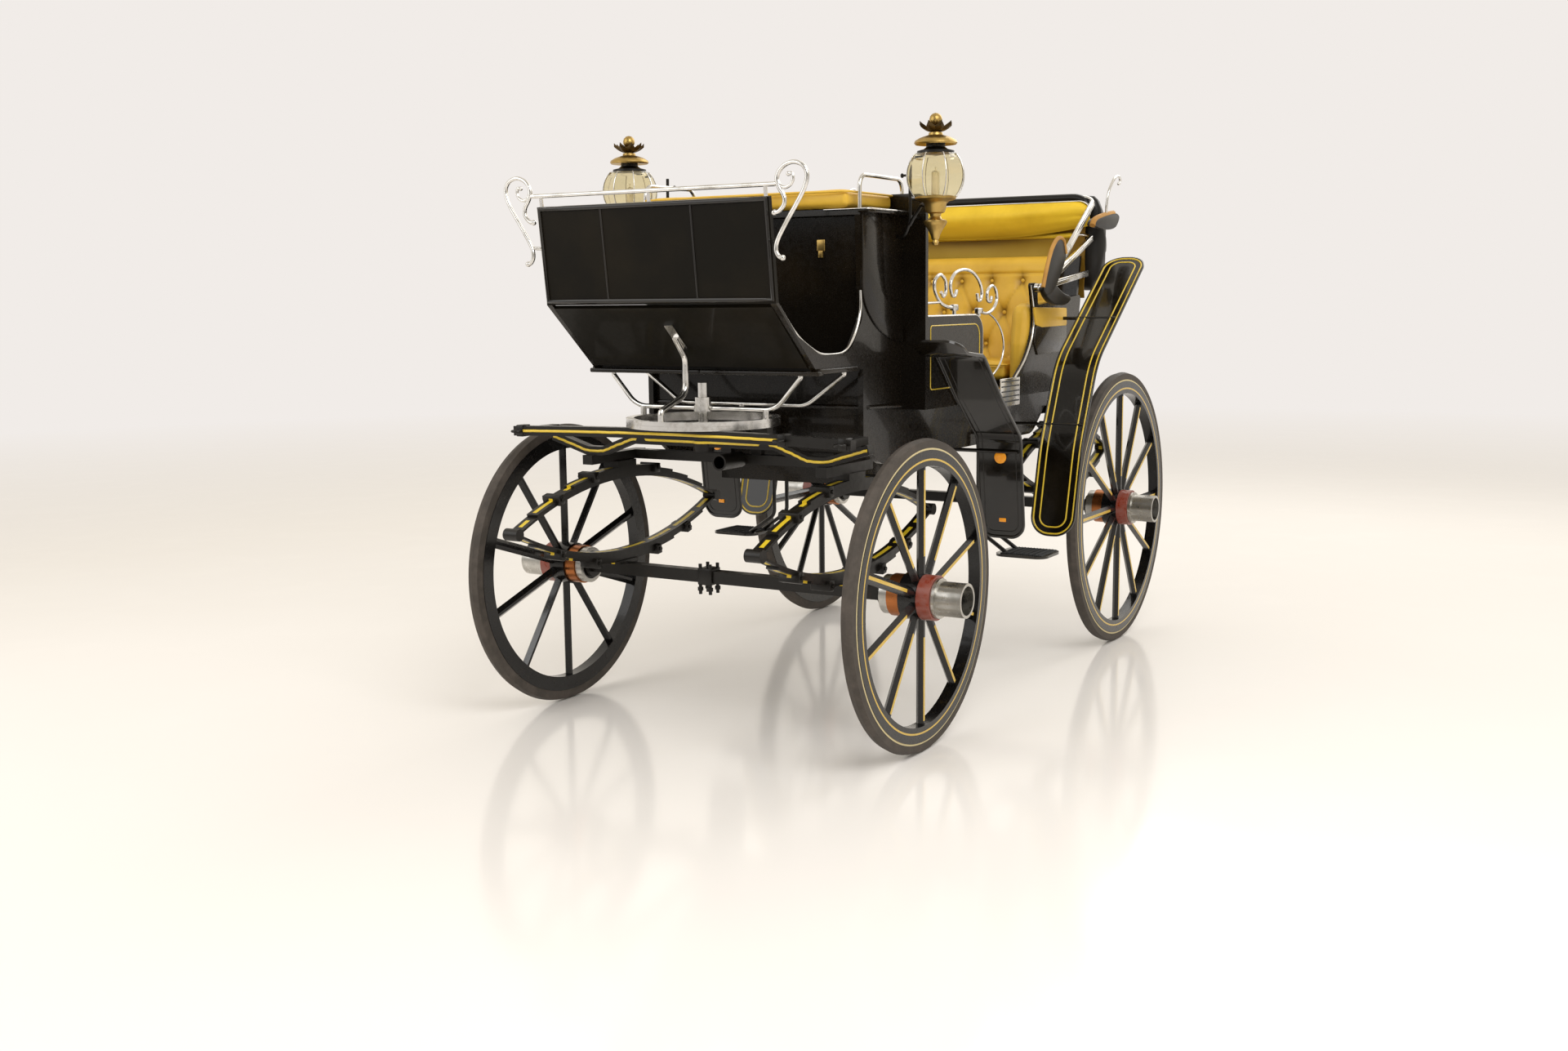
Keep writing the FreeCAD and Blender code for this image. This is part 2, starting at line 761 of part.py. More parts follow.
def body_irons():
    upper_low = at.ring_low + at.ring_thickness + at.turning_gap
    upper_top = upper_low + at.ring_thickness
    outer, inner = at.ring_radius + at.ring_width / 2, at.ring_radius - at.ring_width / 2
    disc = cylinder("upper_ring_disc", "z", outer, at.ring_thickness, (at.king_pin_x, 0, upper_low))
    hole = cylinder("upper_ring_hole", "z", inner, at.ring_thickness, (at.king_pin_x, 0, upper_low))
    node(cut("fifth_wheel_upper", disc, hole), "fifth_wheel_upper")

    level = upper_top + at.iron_level_rise
    top = at.boot_floor_z
    radius = at.iron_radius
    rear_x = at.king_pin_x - at.ring_radius
    hoops = []
    front_x = at.toe_foot_x - radius - at.iron_gap
    body_y = at.body_half_width
    for x, foot_y, knee_y in ((front_x, body_y - at.front_iron_inset, at.front_iron_knee_y),
                              (rear_x, body_y - at.rear_iron_inset, at.rear_iron_knee_y)):
        half = [(x, foot_y, top), (x, foot_y, top - 2 * radius, radius), (x, knee_y, level, at.hoop_bend)]
        hoops.append(rod([(u, -v, *rest) for u, v, *rest in half] + half[::-1], radius))
    lugs = [Part.makeCylinder(at.iron_lug_radius, level - upper_top,
                              Vec(at.king_pin_x, side * at.ring_radius, upper_top)) for label, side in SIDES]
    rear_lug = Part.makeCylinder(at.iron_lug_radius, level - upper_top, Vec(rear_x, 0, upper_top))
    plate = Part.makeCylinder(at.pin_plate_radius, at.pin_plate_thickness,
                              Vec(at.king_pin_x, 0, level - at.pin_plate_thickness / 2))
    bore = Part.makeCylinder(at.king_pin_radius, 2 * at.pin_plate_thickness,
                             Vec(at.king_pin_x, 0, level - at.pin_plate_thickness))

    # foot iron: bolted under the toe board, bowed back and forward again to the ring's front
    foot, along = toe_line()
    below = Vec(along.z, 0, -along.x)
    drop = (at.toe_board_thickness + radius) / 2
    shoe = [foot + along * reach + below * drop for reach in (at.foot_iron_low, at.foot_iron_high)]
    shoe_plate = slab(strip([(shoe[0].x, shoe[0].z, 0), (shoe[1].x, shoe[1].z, 0)], radius), "y",
                      -at.foot_iron_width / 2, at.foot_iron_width / 2)
    start = (shoe[0] + shoe[1]) / 2 + below * radius
    ring_front_x = at.king_pin_x + at.ring_radius
    sweep_x = at.toe_foot_x + at.foot_iron_sweep
    prop = rod([(start.x, 0, start.z), (sweep_x, 0, (start.z + level) / 2 + at.iron_bend, at.iron_bend),
                (sweep_x, 0, level + at.iron_bend, at.iron_bend),
                (ring_front_x, 0, upper_top + 4 * radius, 2 * radius), (ring_front_x, 0, upper_top)],
               at.prop_radius)
    front_hoop = hoops[0].fuse([plate] + lugs).cut(bore)
    made("body_irons", [front_hoop, hoops[1].fuse(rear_lug), prop.fuse(shoe_plate)], joined=False)

    pin = cylinder("king_pin_shank", "z", at.king_pin_radius, at.king_pin_top - at.king_pin_low,
                   (at.king_pin_x, 0, at.king_pin_low))
    nut = cylinder("king_pin_nut", "z", at.king_nut_radius, at.king_nut_height,
                   (at.king_pin_x, 0, level + 11))
    node(fused("king_pin", [pin, nut]), "king_pin")


# ---------------------------------------------------------------- coachman's box

def toe_line():
    """Foot of the toe board's middle line and its direction up to the dash."""
    half = at.toe_board_thickness / 2
    foot = Vec(at.toe_foot_x + half, 0, at.boot_floor_z + half)
    top = Vec(at.dash_foot_x - half, 0, at.dash_foot_z - half)
    return foot, (top - foot).normalize()


def dash_line():
    foot = Vec(at.dash_foot_x, 0, at.dash_foot_z)
    return foot, (Vec(at.dash_top_x, 0, at.dash_top_z) - foot).normalize()


def boot():
    """Foot space and seat box: two side panels, floor, toe board, dash, seat box."""
    wide = at.body_half_width
    inner = wide - at.panel_thickness
    foot, along = dash_line()
    across = Vec(along.z, 0, -along.x) * (at.dash_thickness / 2)
    front, back = foot + across, foot - across
    low = at.cut_low_z
    bend = at.cut_bend
    profile = [(at.bulkhead_x, at.boot_floor_z), (at.toe_foot_x, at.boot_floor_z), (front.x, front.z),
               (back.x, back.z), (at.cut_front_x, low + at.cut_front_rise, bend / 2),
               (at.toe_foot_x - at.panel_thickness, low, bend), (at.cut_rear_x, low, bend),
               (at.box_front_x - at.dash_thickness, low + bend, bend / 2),
               (at.box_front_x, at.box_top_z), (at.bulkhead_x, at.box_top_z)]
    sides = [slab(profile, "y", start, start + at.panel_thickness) for start in (inner, -wide)]
    made("boot_sides", sides, joined=False)
    floor = Part.makeBox(at.toe_foot_x - at.bulkhead_x, 2 * inner, at.panel_thickness,
                         Vec(at.bulkhead_x, -inner, at.boot_floor_z))
    toe_foot, toe_along = toe_line()
    reach = (at.dash_foot_x - at.toe_foot_x - at.toe_board_thickness) / toe_along.x
    toe_top = toe_foot + toe_along * reach
    toe_start = toe_foot + toe_along * at.panel_thickness
    made("boot_floor", [floor, slab(strip([(toe_start.x, toe_start.z, 0), (toe_top.x, toe_top.z, 0)],
                                          at.toe_board_thickness), "y", -inner, inner)])
    made("dash", [slab(strip([(foot.x, foot.z, 0), (at.dash_top_x, at.dash_top_z, 0)], at.dash_thickness),
                       "y", -wide, wide)])
    front_x = at.box_front_x - at.box_foot_setback
    front = box("seat_box_front",
                (front_x - at.panel_thickness, -inner, at.boot_floor_z + at.panel_thickness),
                (front_x, inner, at.box_top_z))
    lid = box("seat_box_lid", (at.bulkhead_x, -wide, at.box_top_z),
              (at.box_front_x, wide, at.box_top_z + at.seat_lid_thickness))
    node(fused("seat_box", [front, lid]), "seat_box")
    cushion_low = at.box_top_z + at.seat_lid_thickness + at.soft_gap
    node(box("driver_cushion", (at.bulkhead_x + at.soft_gap, -inner, cushion_low),
             (at.driver_cushion_front_x, inner, cushion_low + at.driver_cushion_height)), "driver_cushion")


def box_rails():
    """Bright rails: over the dash, its side scrolls, and the arms of the box seat."""
    top = Vec(at.dash_top_x, 0, at.dash_top_z)
    along = dash_line()[1]
    rail = top + along * at.dash_rail_rise
    radius = at.rail_radius
    leg_y, end_y = at.body_half_width - 2 * radius, at.body_half_width + 3 * radius
    made("dash_rail", [rod([(rail.x, -end_y, rail.z), (rail.x, end_y, rail.z)], radius)]
         + [rod([(top.x, y, top.z), (rail.x, y, rail.z)], radius - 1) for y in (-leg_y, 0, leg_y)])
    scrolls = []
    hold = top - along * at.scroll_hold_drop
    lug_x, lug_y = hold.x + 3 * radius, at.body_half_width + at.scroll_sweep
    for label, side in SIDES:
        stem = rod([(lug_x, side * (lug_y + radius), hold.z - at.scroll_drop),
                    (lug_x, side * (lug_y + radius), hold.z, 3 * radius),
                    (lug_x + radius, side * at.scroll_y, hold.z + at.scroll_height / 2, 3 * radius),
                    (lug_x + radius, side * at.scroll_y, hold.z + at.scroll_height)], radius)
        lug = rod([(hold.x, side * at.body_half_width, hold.z), (hold.x, side * lug_y, hold.z, radius + 3),
                   (lug_x, side * (lug_y + radius), hold.z)], radius - 1)
        scrolls.append(stem.fuse(lug))
    made("dash_scrolls", scrolls, joined=False)
    arms = []
    lid_top = at.box_top_z + at.seat_lid_thickness
    rail_z = at.box_top_z + at.arm_rail_rise
    for label, side in SIDES:
        y = side * (at.body_half_width - radius - 2)
        front_x, rear_x = at.box_front_x - 2 * radius, at.bulkhead_x - at.panel_thickness / 2
        arms.append(rod([(front_x, y, lid_top), (front_x, y, rail_z, at.arm_bend),
                         (rear_x, y, rail_z, at.arm_bend),
                         (rear_x, y, at.box_top_z + at.bulkhead_rise)], radius))
    made("seat_arm_rails", arms, joined=False)


# ---------------------------------------------------------------- lower body

def lower_body():
    wide, skin = at.body_half_width, at.panel_thickness
    inner, span = wide - skin, at.upper_half_width - skin
    sill_low = at.sill_top - at.sill_height
    profile = [(at.body_front_x, at.body_low_z + at.nose_rise), (at.body_front_x, at.boot_floor_z),
               (at.bulkhead_x, at.boot_floor_z), (at.bulkhead_x, sill_low), (at.body_rear_x, sill_low),
               (at.body_rear_x + at.tail_rise_length, at.body_low_z, at.belly_bend),
               (at.body_front_x - at.nose_rise_length, at.body_low_z, at.belly_bend)]
    sides = []
    for low, sill_y in ((inner, inner), (-wide, -at.upper_half_width)):
        sill = Part.makeBox(at.bulkhead_x - at.body_rear_x + skin, at.upper_half_width - inner,
                            at.sill_height, Vec(at.body_rear_x - skin, sill_y, sill_low))
        sides.append(slab(profile, "y", low, low + skin).fuse(sill).removeSplitter())
    made("body_sides", sides, joined=False)

    floor_top = at.body_low_z + at.floor_rise
    wall_x = at.body_front_x - skin
    deck = box("floor_deck", (at.body_rear_x + at.tail_rise_length + skin / 2, -inner, floor_top - skin),
               (wall_x - skin, inner, floor_top))
    hole = box("floor_hole", (at.well_rear_x, -at.well_half_width, floor_top - 2 * skin),
               (at.well_front_x, at.well_half_width, floor_top + skin))
    low = at.body_low_z - at.well_depth
    shell = box("well_shell", (at.well_rear_x, -at.well_half_width, low),
                (at.well_front_x, at.well_half_width, floor_top))
    void = box("well_void", (at.well_rear_x + skin, -at.well_half_width + skin, low + skin),
               (at.well_front_x - skin, at.well_half_width - skin, floor_top + skin))
    front = box("body_front_wall", (wall_x - skin, -inner, floor_top - skin),
                (wall_x, inner, at.boot_floor_z))
    floor = fused("body_floor", [cut("deck_cut", deck, hole), cut("well_cut", shell, void), front])
    node(floor, "body_floor")

    top_z = at.box_top_z + at.bulkhead_rise
    plate = [(-at.upper_half_width, at.sill_top), (at.upper_half_width, at.sill_top),
             (at.upper_half_width, top_z, at.bulkhead_corner),
             (-at.upper_half_width, top_z, at.bulkhead_corner)]
    made("bulkhead", [slab(plate, "x", at.bulkhead_x - skin, at.bulkhead_x)])
    front_x = at.bulkhead_x - skin
    side_profile = [(at.side_panel_rear_x, at.sill_top), (front_x, at.sill_top),
                    (front_x, at.side_panel_top_z),
                    (at.side_panel_rear_x, at.side_panel_top_z, at.panel_corner)]
    made("jump_seat_sides", [slab(side_profile, "y", start, start + skin)
                             for start in (span, -at.upper_half_width)], joined=False)
    bench_top = at.sill_top + at.bench_thickness
    seat = box("bench_seat", (at.bench_rear_x, -span, at.sill_top), (front_x, span, bench_top))
    riser_x = at.bench_rear_x + at.bench_overhang
    riser = box("bench_riser", (riser_x, -inner, floor_top), (riser_x + skin, inner, at.sill_top))
    node(fused("bench", [seat, riser]), "bench")
    gap = at.soft_gap
    node(box("bench_cushion", (at.bench_rear_x, -span + gap, bench_top + gap),
             (front_x - gap, span - gap, bench_top + gap + at.cushion_height)), "bench_cushion")


def side_rails():
    """Bright scroll rails that stand on the jump seat's sides, and the low rail behind the box seat."""
    top = at.side_panel_top_z
    high, dip, bend = top + at.side_rail_rise, top + at.side_rail_dip, at.side_rail_bend
    front_x, rear_x = at.bulkhead_x - at.panel_thickness, at.side_panel_rear_x
    length = front_x - rear_x
    rails = []
    for label, side in SIDES:
        y = side * (at.upper_half_width - at.panel_thickness / 2)
        rail = rod([(front_x - at.rail_gap, y, high), (front_x - length / 5, y, high, bend),
                    (rear_x + length / 2, y, dip, bend),
                    (rear_x + length / 4, y, dip, bend), (rear_x, y, dip + bend / 2, bend / 2),
                    (rear_x - bend / 3, y, high)], at.rail_radius)
        posts = [rod([(x, y, top), (x, y, z)], at.rail_radius - 1)
                 for x, z in ((front_x - length / 5, high - 1), (rear_x + length / 3, dip))]
        rails.append(rail.fuse(posts).removeSplitter())
    made("side_rails", rails, joined=False)


# ---------------------------------------------------------------- rear seat

def rear_seat():
    wide, skin, gap = at.body_half_width, at.panel_thickness, at.soft_gap
    inner, span = wide - skin, at.upper_half_width - skin
    foot_x, top_z = at.body_rear_x, at.seat_back_top_z
    lean = (at.rear_panel_top_x - foot_x) / (top_z - at.sill_top)

    def rear_x(z):
        """The rear panel's inner face at a height."""
        return foot_x + lean * (z - at.sill_top)

    ear, bend = at.pivot_ear_width, at.pad_bend
    ear_top, tail_z = at.hood_pivot_z + at.panel_thickness, at.arm_top_z + at.quarter_tail_rise
    quarter = [(at.quarter_foot_x, at.sill_top), (at.quarter_knee_x, at.quarter_knee_z, at.quarter_bend),
               (at.quarter_neck_x, at.quarter_neck_z, at.quarter_bend / 2),
               (at.hood_pivot_x + ear, ear_top, ear / 2), (at.hood_pivot_x - ear, ear_top, ear / 2),
               (at.hood_pivot_x - 3 * ear / 2, at.arm_top_z, ear / 2), (rear_x(tail_z), tail_z, bend / 2),
               (foot_x, at.sill_top)]
    made("quarter_panels", [slab(quarter, "y", start, start + skin)
                            for start in (span, -at.upper_half_width)], joined=False)
    deck_top = at.sill_top + skin
    heel = box("heel_board", (at.seat_front_x - skin, -inner, at.body_low_z + at.floor_rise),
               (at.seat_front_x, inner, at.sill_top))
    deck = box("seat_deck", (foot_x, -span, at.sill_top), (at.seat_front_x, span, deck_top))
    node(fused("rear_seat_box", [heel, deck]), "rear_seat_box")
    low = deck_top + gap
    reach = at.arm_inner_y - gap
    node(box("rear_cushion", (at.seat_back_foot_x + at.pad_bend / 2, -reach, low),
             (at.seat_front_x, reach, low + at.cushion_height)), "rear_cushion")
    back = [(at.seat_back_foot_x, low), (at.seat_back_foot_x + at.back_toe / 5, low + at.back_toe, bend),
            (at.seat_back_top_x, top_z, bend), (rear_x(top_z) + gap, top_z), (rear_x(low) + gap, low)]
    made("rear_seat_back", [slab(back, "y", -reach, reach)])
    arm_tail = at.arm_top_z + at.quarter_tail_rise * 3 / 4
    arm = [(at.seat_front_x, low), (at.seat_front_x, (low + at.arm_top_z) / 2, 2 * bend),
           (at.hood_pivot_x, at.arm_top_z, bend), (rear_x(arm_tail) + gap, arm_tail),
           (rear_x(low) + gap, low)]
    pads = [slab(arm, "y", at.arm_inner_y, span - gap), slab(arm, "y", gap - span, -at.arm_inner_y)]
    made("arm_pads", pads, joined=False)
    rear = [(foot_x, at.sill_top), (foot_x - skin, at.sill_top), (rear_x(top_z) - skin, top_z),
            (rear_x(top_z), top_z)]
    sill_low = at.sill_top - at.sill_height
    knee_x, knee_z = foot_x + at.tail_rise_length, at.body_low_z + at.tail_board_gap
    under = [(foot_x, sill_low), (knee_x, knee_z), (knee_x, knee_z + skin),
             (foot_x + 4 * skin / 3, sill_low)]
    made("rear_panels", [slab(rear, "y", -span, span), slab(under, "y", -inner, inner)], joined=False)


def rear_carriage():
    """Cross bar over the rear springs and the gussets that carry the body's tail."""
    top = spring_heights(at.rear_wheel_radius)[1]
    low, high = top + at.block_height, top + at.block_height + at.rear_bar_height
    pieces = []
    for label, side in SIDES:
        pieces.append(Part.makeBox(at.block_length, at.block_width, at.block_height,
                                   Vec(at.rear_axle_x - at.block_length / 2,
                                       side * at.spring_y - at.block_width / 2, top)))
    bar_x = at.rear_axle_x - at.rear_bar_depth / 2
    pieces.append(Part.makeBox(at.rear_bar_depth, 2 * at.spring_y + at.block_width, at.rear_bar_height,
                               Vec(bar_x, -at.spring_y - at.block_width / 2, low)))
    sill_low = at.sill_top - at.sill_height
    drop = (sill_low - at.body_low_z - at.tail_board_gap) / at.tail_rise_length
    under_x = at.body_rear_x + (sill_low - low) / drop
    gusset = [(bar_x, low), (under_x, low), (at.body_rear_x, sill_low), (bar_x, high + at.panel_thickness)]
    half = at.gusset_width / 2
    pieces += [slab(gusset, "y", y - half, y + half) for y in (-at.gusset_y, at.gusset_y)]
    made("rear_bed", pieces)


# ---------------------------------------------------------------- folded hood

def bow_corner(order):
    """The bend of a bow, counted from the front bow, and its direction from the pivot."""
    angle = math.radians(at.bow_angle + order * at.bow_fan)
    direction = Vec(math.cos(angle), 0, math.sin(angle))
    reach = at.bow_reach - at.bow_step * order
    return direction, Vec(at.hood_pivot_x, 0, at.hood_pivot_z) + direction * reach


def bow(name, order):
    """A hoop over the carriage: two side irons from the pivots and the bow across."""
    direction, corner = bow_corner(order)
    pivot = Vec(at.hood_pivot_x, 0, at.hood_pivot_z)
    start = pivot + direction * (at.bow_ear_radius - at.bow_ear_overlap)
    y = at.upper_half_width + at.bow_gap + (2 - order) * at.bow_spacing
    hoop = rod([(start.x, -y, start.z), (corner.x, -y, corner.z, at.bow_bend),
                (corner.x, y, corner.z, at.bow_bend), (start.x, y, start.z)], at.bow_radius)
    width = 2 * at.bow_radius
    ears, bores = [], []
    for label, side in SIDES:
        foot = Vec(pivot.x, side * y - at.bow_radius, pivot.z)
        ears.append(Part.makeCylinder(at.bow_ear_radius, width, foot, Vec(0, 1, 0)))
        bores.append(Part.makeCylinder(at.pivot_pin_radius + at.running_gap, width, foot, Vec(0, 1, 0)))
    made(name, [hoop.fuse(ears).cut(bores)])


def hood():
    for order, name in enumerate(("hood_front_bow", "hood_middle_bow", "hood_rear_bow")):
        bow(name, order)
    corners = [bow_corner(order)[1] for order in range(3)]
    front_x = min(corner.x for corner in corners) - at.bow_radius - at.soft_gap
    rear_x = front_x - at.leather_depth
    bend, low = at.leather_bend, at.leather_low_z
    top = corners[0].z + at.leather_cap
    leather = [(front_x, low), (front_x, top, bend / 2), (front_x - 3 * bend / 2, top, bend),
               (rear_x, top - 3 * bend / 2, bend), (rear_x + bend, low + bend / 3, bend),
               (front_x - bend, low - bend, bend / 2)]
    inner = at.upper_half_width + at.bow_gap
    outer = inner + 2 * at.bow_spacing + at.bow_radius
    made("hood_leather", [slab(leather, "y", -outer, outer)])

    # lining that hangs in a roll under the front bow
    half = inner - at.bow_bend
    low, high = corners[0].z - at.roll_depth, corners[0].z - at.bow_radius - at.soft_gap
    back, front = corners[0].x - at.panel_thickness, corners[0].x - at.panel_thickness + at.roll_thickness
    middle = (back + front) / 2
    bend = at.roll_thickness / 3
    roll = [(back, high), (middle, high, bend), (front, (low + high) / 2, bend), (middle, low, bend),
            (back, low, bend / 3)]
    made("hood_roll", [slab(roll, "y", -half, half)])
    pins = []
    tip = outer + at.pivot_head
    for label, side in SIDES:
        base = at.upper_half_width if side > 0 else -tip
        shank = Part.makeCylinder(at.pivot_pin_radius, tip - at.upper_half_width,
                                  Vec(at.hood_pivot_x, base, at.hood_pivot_z), Vec(0, 1, 0))
        base = tip - at.pivot_head / 2 if side > 0 else -tip - at.pivot_head / 2
        head = Part.makeCylinder(at.pivot_head_radius, at.pivot_head,
                                 Vec(at.hood_pivot_x, base, at.hood_pivot_z), Vec(0, 1, 0))
        pins.append(shank.fuse(head))
    made("hood_pivots", pins, joined=False)


# ---------------------------------------------------------------- mudguards, fenders, steps, lamps

def guard(path, inner_y, outer_y, corner, side, stays):
    """A bent plate with round ends beside the body, on stays (x, z, y at the body)."""
    low, high = sorted((side * inner_y, side * outer_y))
    plate = slab(strip(path, at.guard_thickness), "y", low, high)
    ends = [edge for edge in plate.Edges
            if abs(edge.Length - at.guard_thickness) < 0.1
            and abs(edge.tangentAt(edge.FirstParameter).y) < 0.1]
    tips = (Vec(path[0][0], 0, path[0][1]), Vec(path[-1][0], 0, path[-1][1]))
    corners = [edge for edge in ends
               if min((Vec(edge.CenterOfMass.x, 0, edge.CenterOfMass.z) - tip).Length for tip in tips) < 1]
    plate = plate.makeFillet(corner, corners)
    arms = [rod([(x, side * start, z), (x, side * (outer_y - 2 * at.stay_radius), z)], at.stay_radius)
            for x, z, start in stays]
    return plate.fuse(arms).removeSplitter()


def guards():
    bend = at.guard_corner
    flap = [(at.guard_front_x, at.guard_front_z, 0), (at.guard_crest_x, at.guard_crest_z, bend),
            (at.guard_edge_x, at.guard_edge_z, bend), (at.guard_slope_x, at.guard_slope_z, 3 * bend),
            (at.flap_top_x, at.flap_top_z, bend), (at.flap_foot_x, at.flap_foot_z, 0)]
    fender = [(at.fender_foot_x, at.fender_foot_z, 0),
              (at.fender_knee_x, at.fender_knee_z, at.fender_knee_bend),
              (at.fender_waist_x, at.fender_waist_z, at.fender_waist_bend),
              (at.fender_top_x, at.fender_top_z, 0)]
    body_y, wall_y = at.body_half_width, at.upper_half_width
    guard_y, fender_y, step_y = wall_y + at.guard_gap, wall_y + at.fender_gap, wall_y + at.step_gap
    middle_x, middle_z = (at.guard_crest_x + at.guard_edge_x) / 2, (at.guard_crest_z + at.guard_edge_z) / 2
    guard_stays = [(middle_x, middle_z, wall_y),
                   (at.flap_top_x, at.flap_top_z - bend, body_y)]
    low, high = 1 / 4, 2 / 5
    fender_stays = [(at.fender_knee_x + (at.fender_waist_x - at.fender_knee_x) * low,
                     at.fender_knee_z + (at.fender_waist_z - at.fender_knee_z) * low, body_y),
                    (at.fender_waist_x + (at.fender_top_x - at.fender_waist_x) * high,
                     at.fender_waist_z + (at.fender_top_z - at.fender_waist_z) * high, wall_y)]
    front, rear, steps = [], [], []
    for label, side in SIDES:
        front.append(guard(flap, guard_y, guard_y + at.guard_width, bend, side, guard_stays))
        rear.append(guard(fender, fender_y, fender_y + at.fender_width, at.fender_corner, side,
                          fender_stays))
        half, corner = at.step_length / 2, at.step_corner
        inner_y, outer_y = side * step_y, side * (step_y + at.step_width)
        outline = [(at.step_x - half, inner_y, corner), (at.step_x + half, inner_y, corner),
                   (at.step_x + half, outer_y, corner), (at.step_x - half, outer_y, corner)]
        plate = slab(outline, "z", at.step_z, at.step_z + at.step_thickness)
        drop_y, foot_y = body_y + 3 * at.stay_radius, step_y + corner
        irons = [rod([(x, side * body_y, at.step_iron_top_z),
                      (x, side * drop_y, at.step_iron_top_z, 2 * at.stay_radius),
                      (x, side * drop_y, at.step_iron_knee_z, corner),
                      (x, side * foot_y, at.step_z + at.step_thickness / 2)], at.stay_radius + 1)
                 for x in (at.step_x - at.step_iron_spacing / 2, at.step_x + at.step_iron_spacing / 2)]
        steps.append(plate.fuse(irons).removeSplitter())
    made("mudguards", front, joined=False)
    made("fenders", rear, joined=False)
    made("steps", steps, joined=False)


def spun(profile):
    """A solid of revolution about Z from corners (radius, height)."""
    corners = [Vec(radius, 0, height) for radius, height in profile]
    return Part.Face(Part.makePolygon(corners + corners[:1])).revolve(Vec(0, 0, 0), Vec(0, 0, 1), 360)


def lamps():
    radius, wall = at.lamp_glass_radius, at.lamp_glass_wall
    middle = at.box_top_z + at.lamp_rise
    low, high = middle - at.lamp_cut_low, middle + at.lamp_cut_high
    neck, crown, ball = at.lamp_neck_radius, at.lamp_crown_height, at.lamp_finial_radius
    stem, candle_radius, canopy = at.lamp_stem_length, at.lamp_candle_radius, at.lamp_canopy_radius
    lower = spun([(0, low - stem), (candle_radius, low - stem), (neck / 2, low - stem * 3 / 4),
                  (neck, low - stem * 3 / 5), (neck, low - stem / 4), (neck * 4 / 3, low - wall),
                  (canopy - wall, low), (0, low)])
    upper = spun([(0, high), (canopy - wall, high), (canopy, high + crown / 10), (neck, high + crown / 4),
                  (neck, high + crown / 2), (candle_radius, high + crown * 3 / 5),
                  (candle_radius, high + crown * 2 / 3), (ball, high + crown * 5 / 6),
                  (candle_radius, high + crown), (0, high + crown)])
    candle = Part.makeCylinder(candle_radius, high - low, Vec(0, 0, low))
    frame = lower.fuse([upper, candle]).removeSplitter()
    globe = Part.makeSphere(radius, Vec(0, 0, middle)).cut(Part.makeSphere(radius - wall, Vec(0, 0, middle)))
    globe = globe.common(Part.makeBox(2 * radius, 2 * radius, high - low - 2 * at.soft_gap,
                                      Vec(-radius, -radius, low + at.soft_gap)))
    frames, glasses = [], []
    arm_z = low - stem * 4 / 5
    for label, side in SIDES:
        lamp_y = side * (at.upper_half_width + at.lamp_overhang)
        arm_y = side * (at.upper_half_width - at.lamp_arm_inset)
        place = Vec(at.lamp_x, lamp_y, 0)
        arm = rod([(at.bulkhead_x, arm_y, arm_z), ((at.bulkhead_x + at.lamp_x) / 2, arm_y, arm_z, neck),
                   (at.lamp_x, lamp_y, low - stem * 2 / 3)], at.rail_radius)
        frames.append(frame.translated(place).fuse(arm).removeSplitter())
        glasses.append(globe.translated(place))
    made("lamps", frames, joined=False)
    made("lamp_glasses", glasses, joined=False)


for end, axle_x, radius, spokes, spring_half in WHEELS:
    for label, side in SIDES:
        wheel("wheel_%s_%s" % (end, label), axle_x, radius, spokes, side)
    axle(end, axle_x, radius)
    springs(end, axle_x, radius, spring_half)
front_carriage()
body_irons()
boot()
box_rails()
lower_body()
side_rails()
rear_seat()
rear_carriage()
hood()
guards()
lamps()


# ---------------------------------------------------------------- checking and writing

doc.recompute()
for item in doc.Objects:
    if {"Invalid", "Error"} & set(item.State):
        raise RuntimeError("%s failed: %s" % (item.Name, item.State))
for piece in nodes:
    if piece.Shape.isNull() or not piece.Shape.isValid():
        raise RuntimeError("%s has no sound shape" % piece.Label)
    if not piece.Shape.Solids:
        raise RuntimeError("%s has no solid" % piece.Label)

os.makedirs("parts", exist_ok=True)
for piece in nodes:
    piece.Shape.exportStep("parts/%s.step" % piece.Label)
print("%d sub-parts written" % len(nodes))
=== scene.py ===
# %% [markdown]
# # A Victoria carriage
# The metal and wooden parts come ready made, at their real places, from the CAD model. This lesson
# loads them, gives every one its finish, and then makes what a drawing office leaves out: cushions,
# the folded hood, beading, painted lines and scrolls.

# %% Load the carriage
import json
import math

import bpy
from mathutils import Matrix, Vector, noise

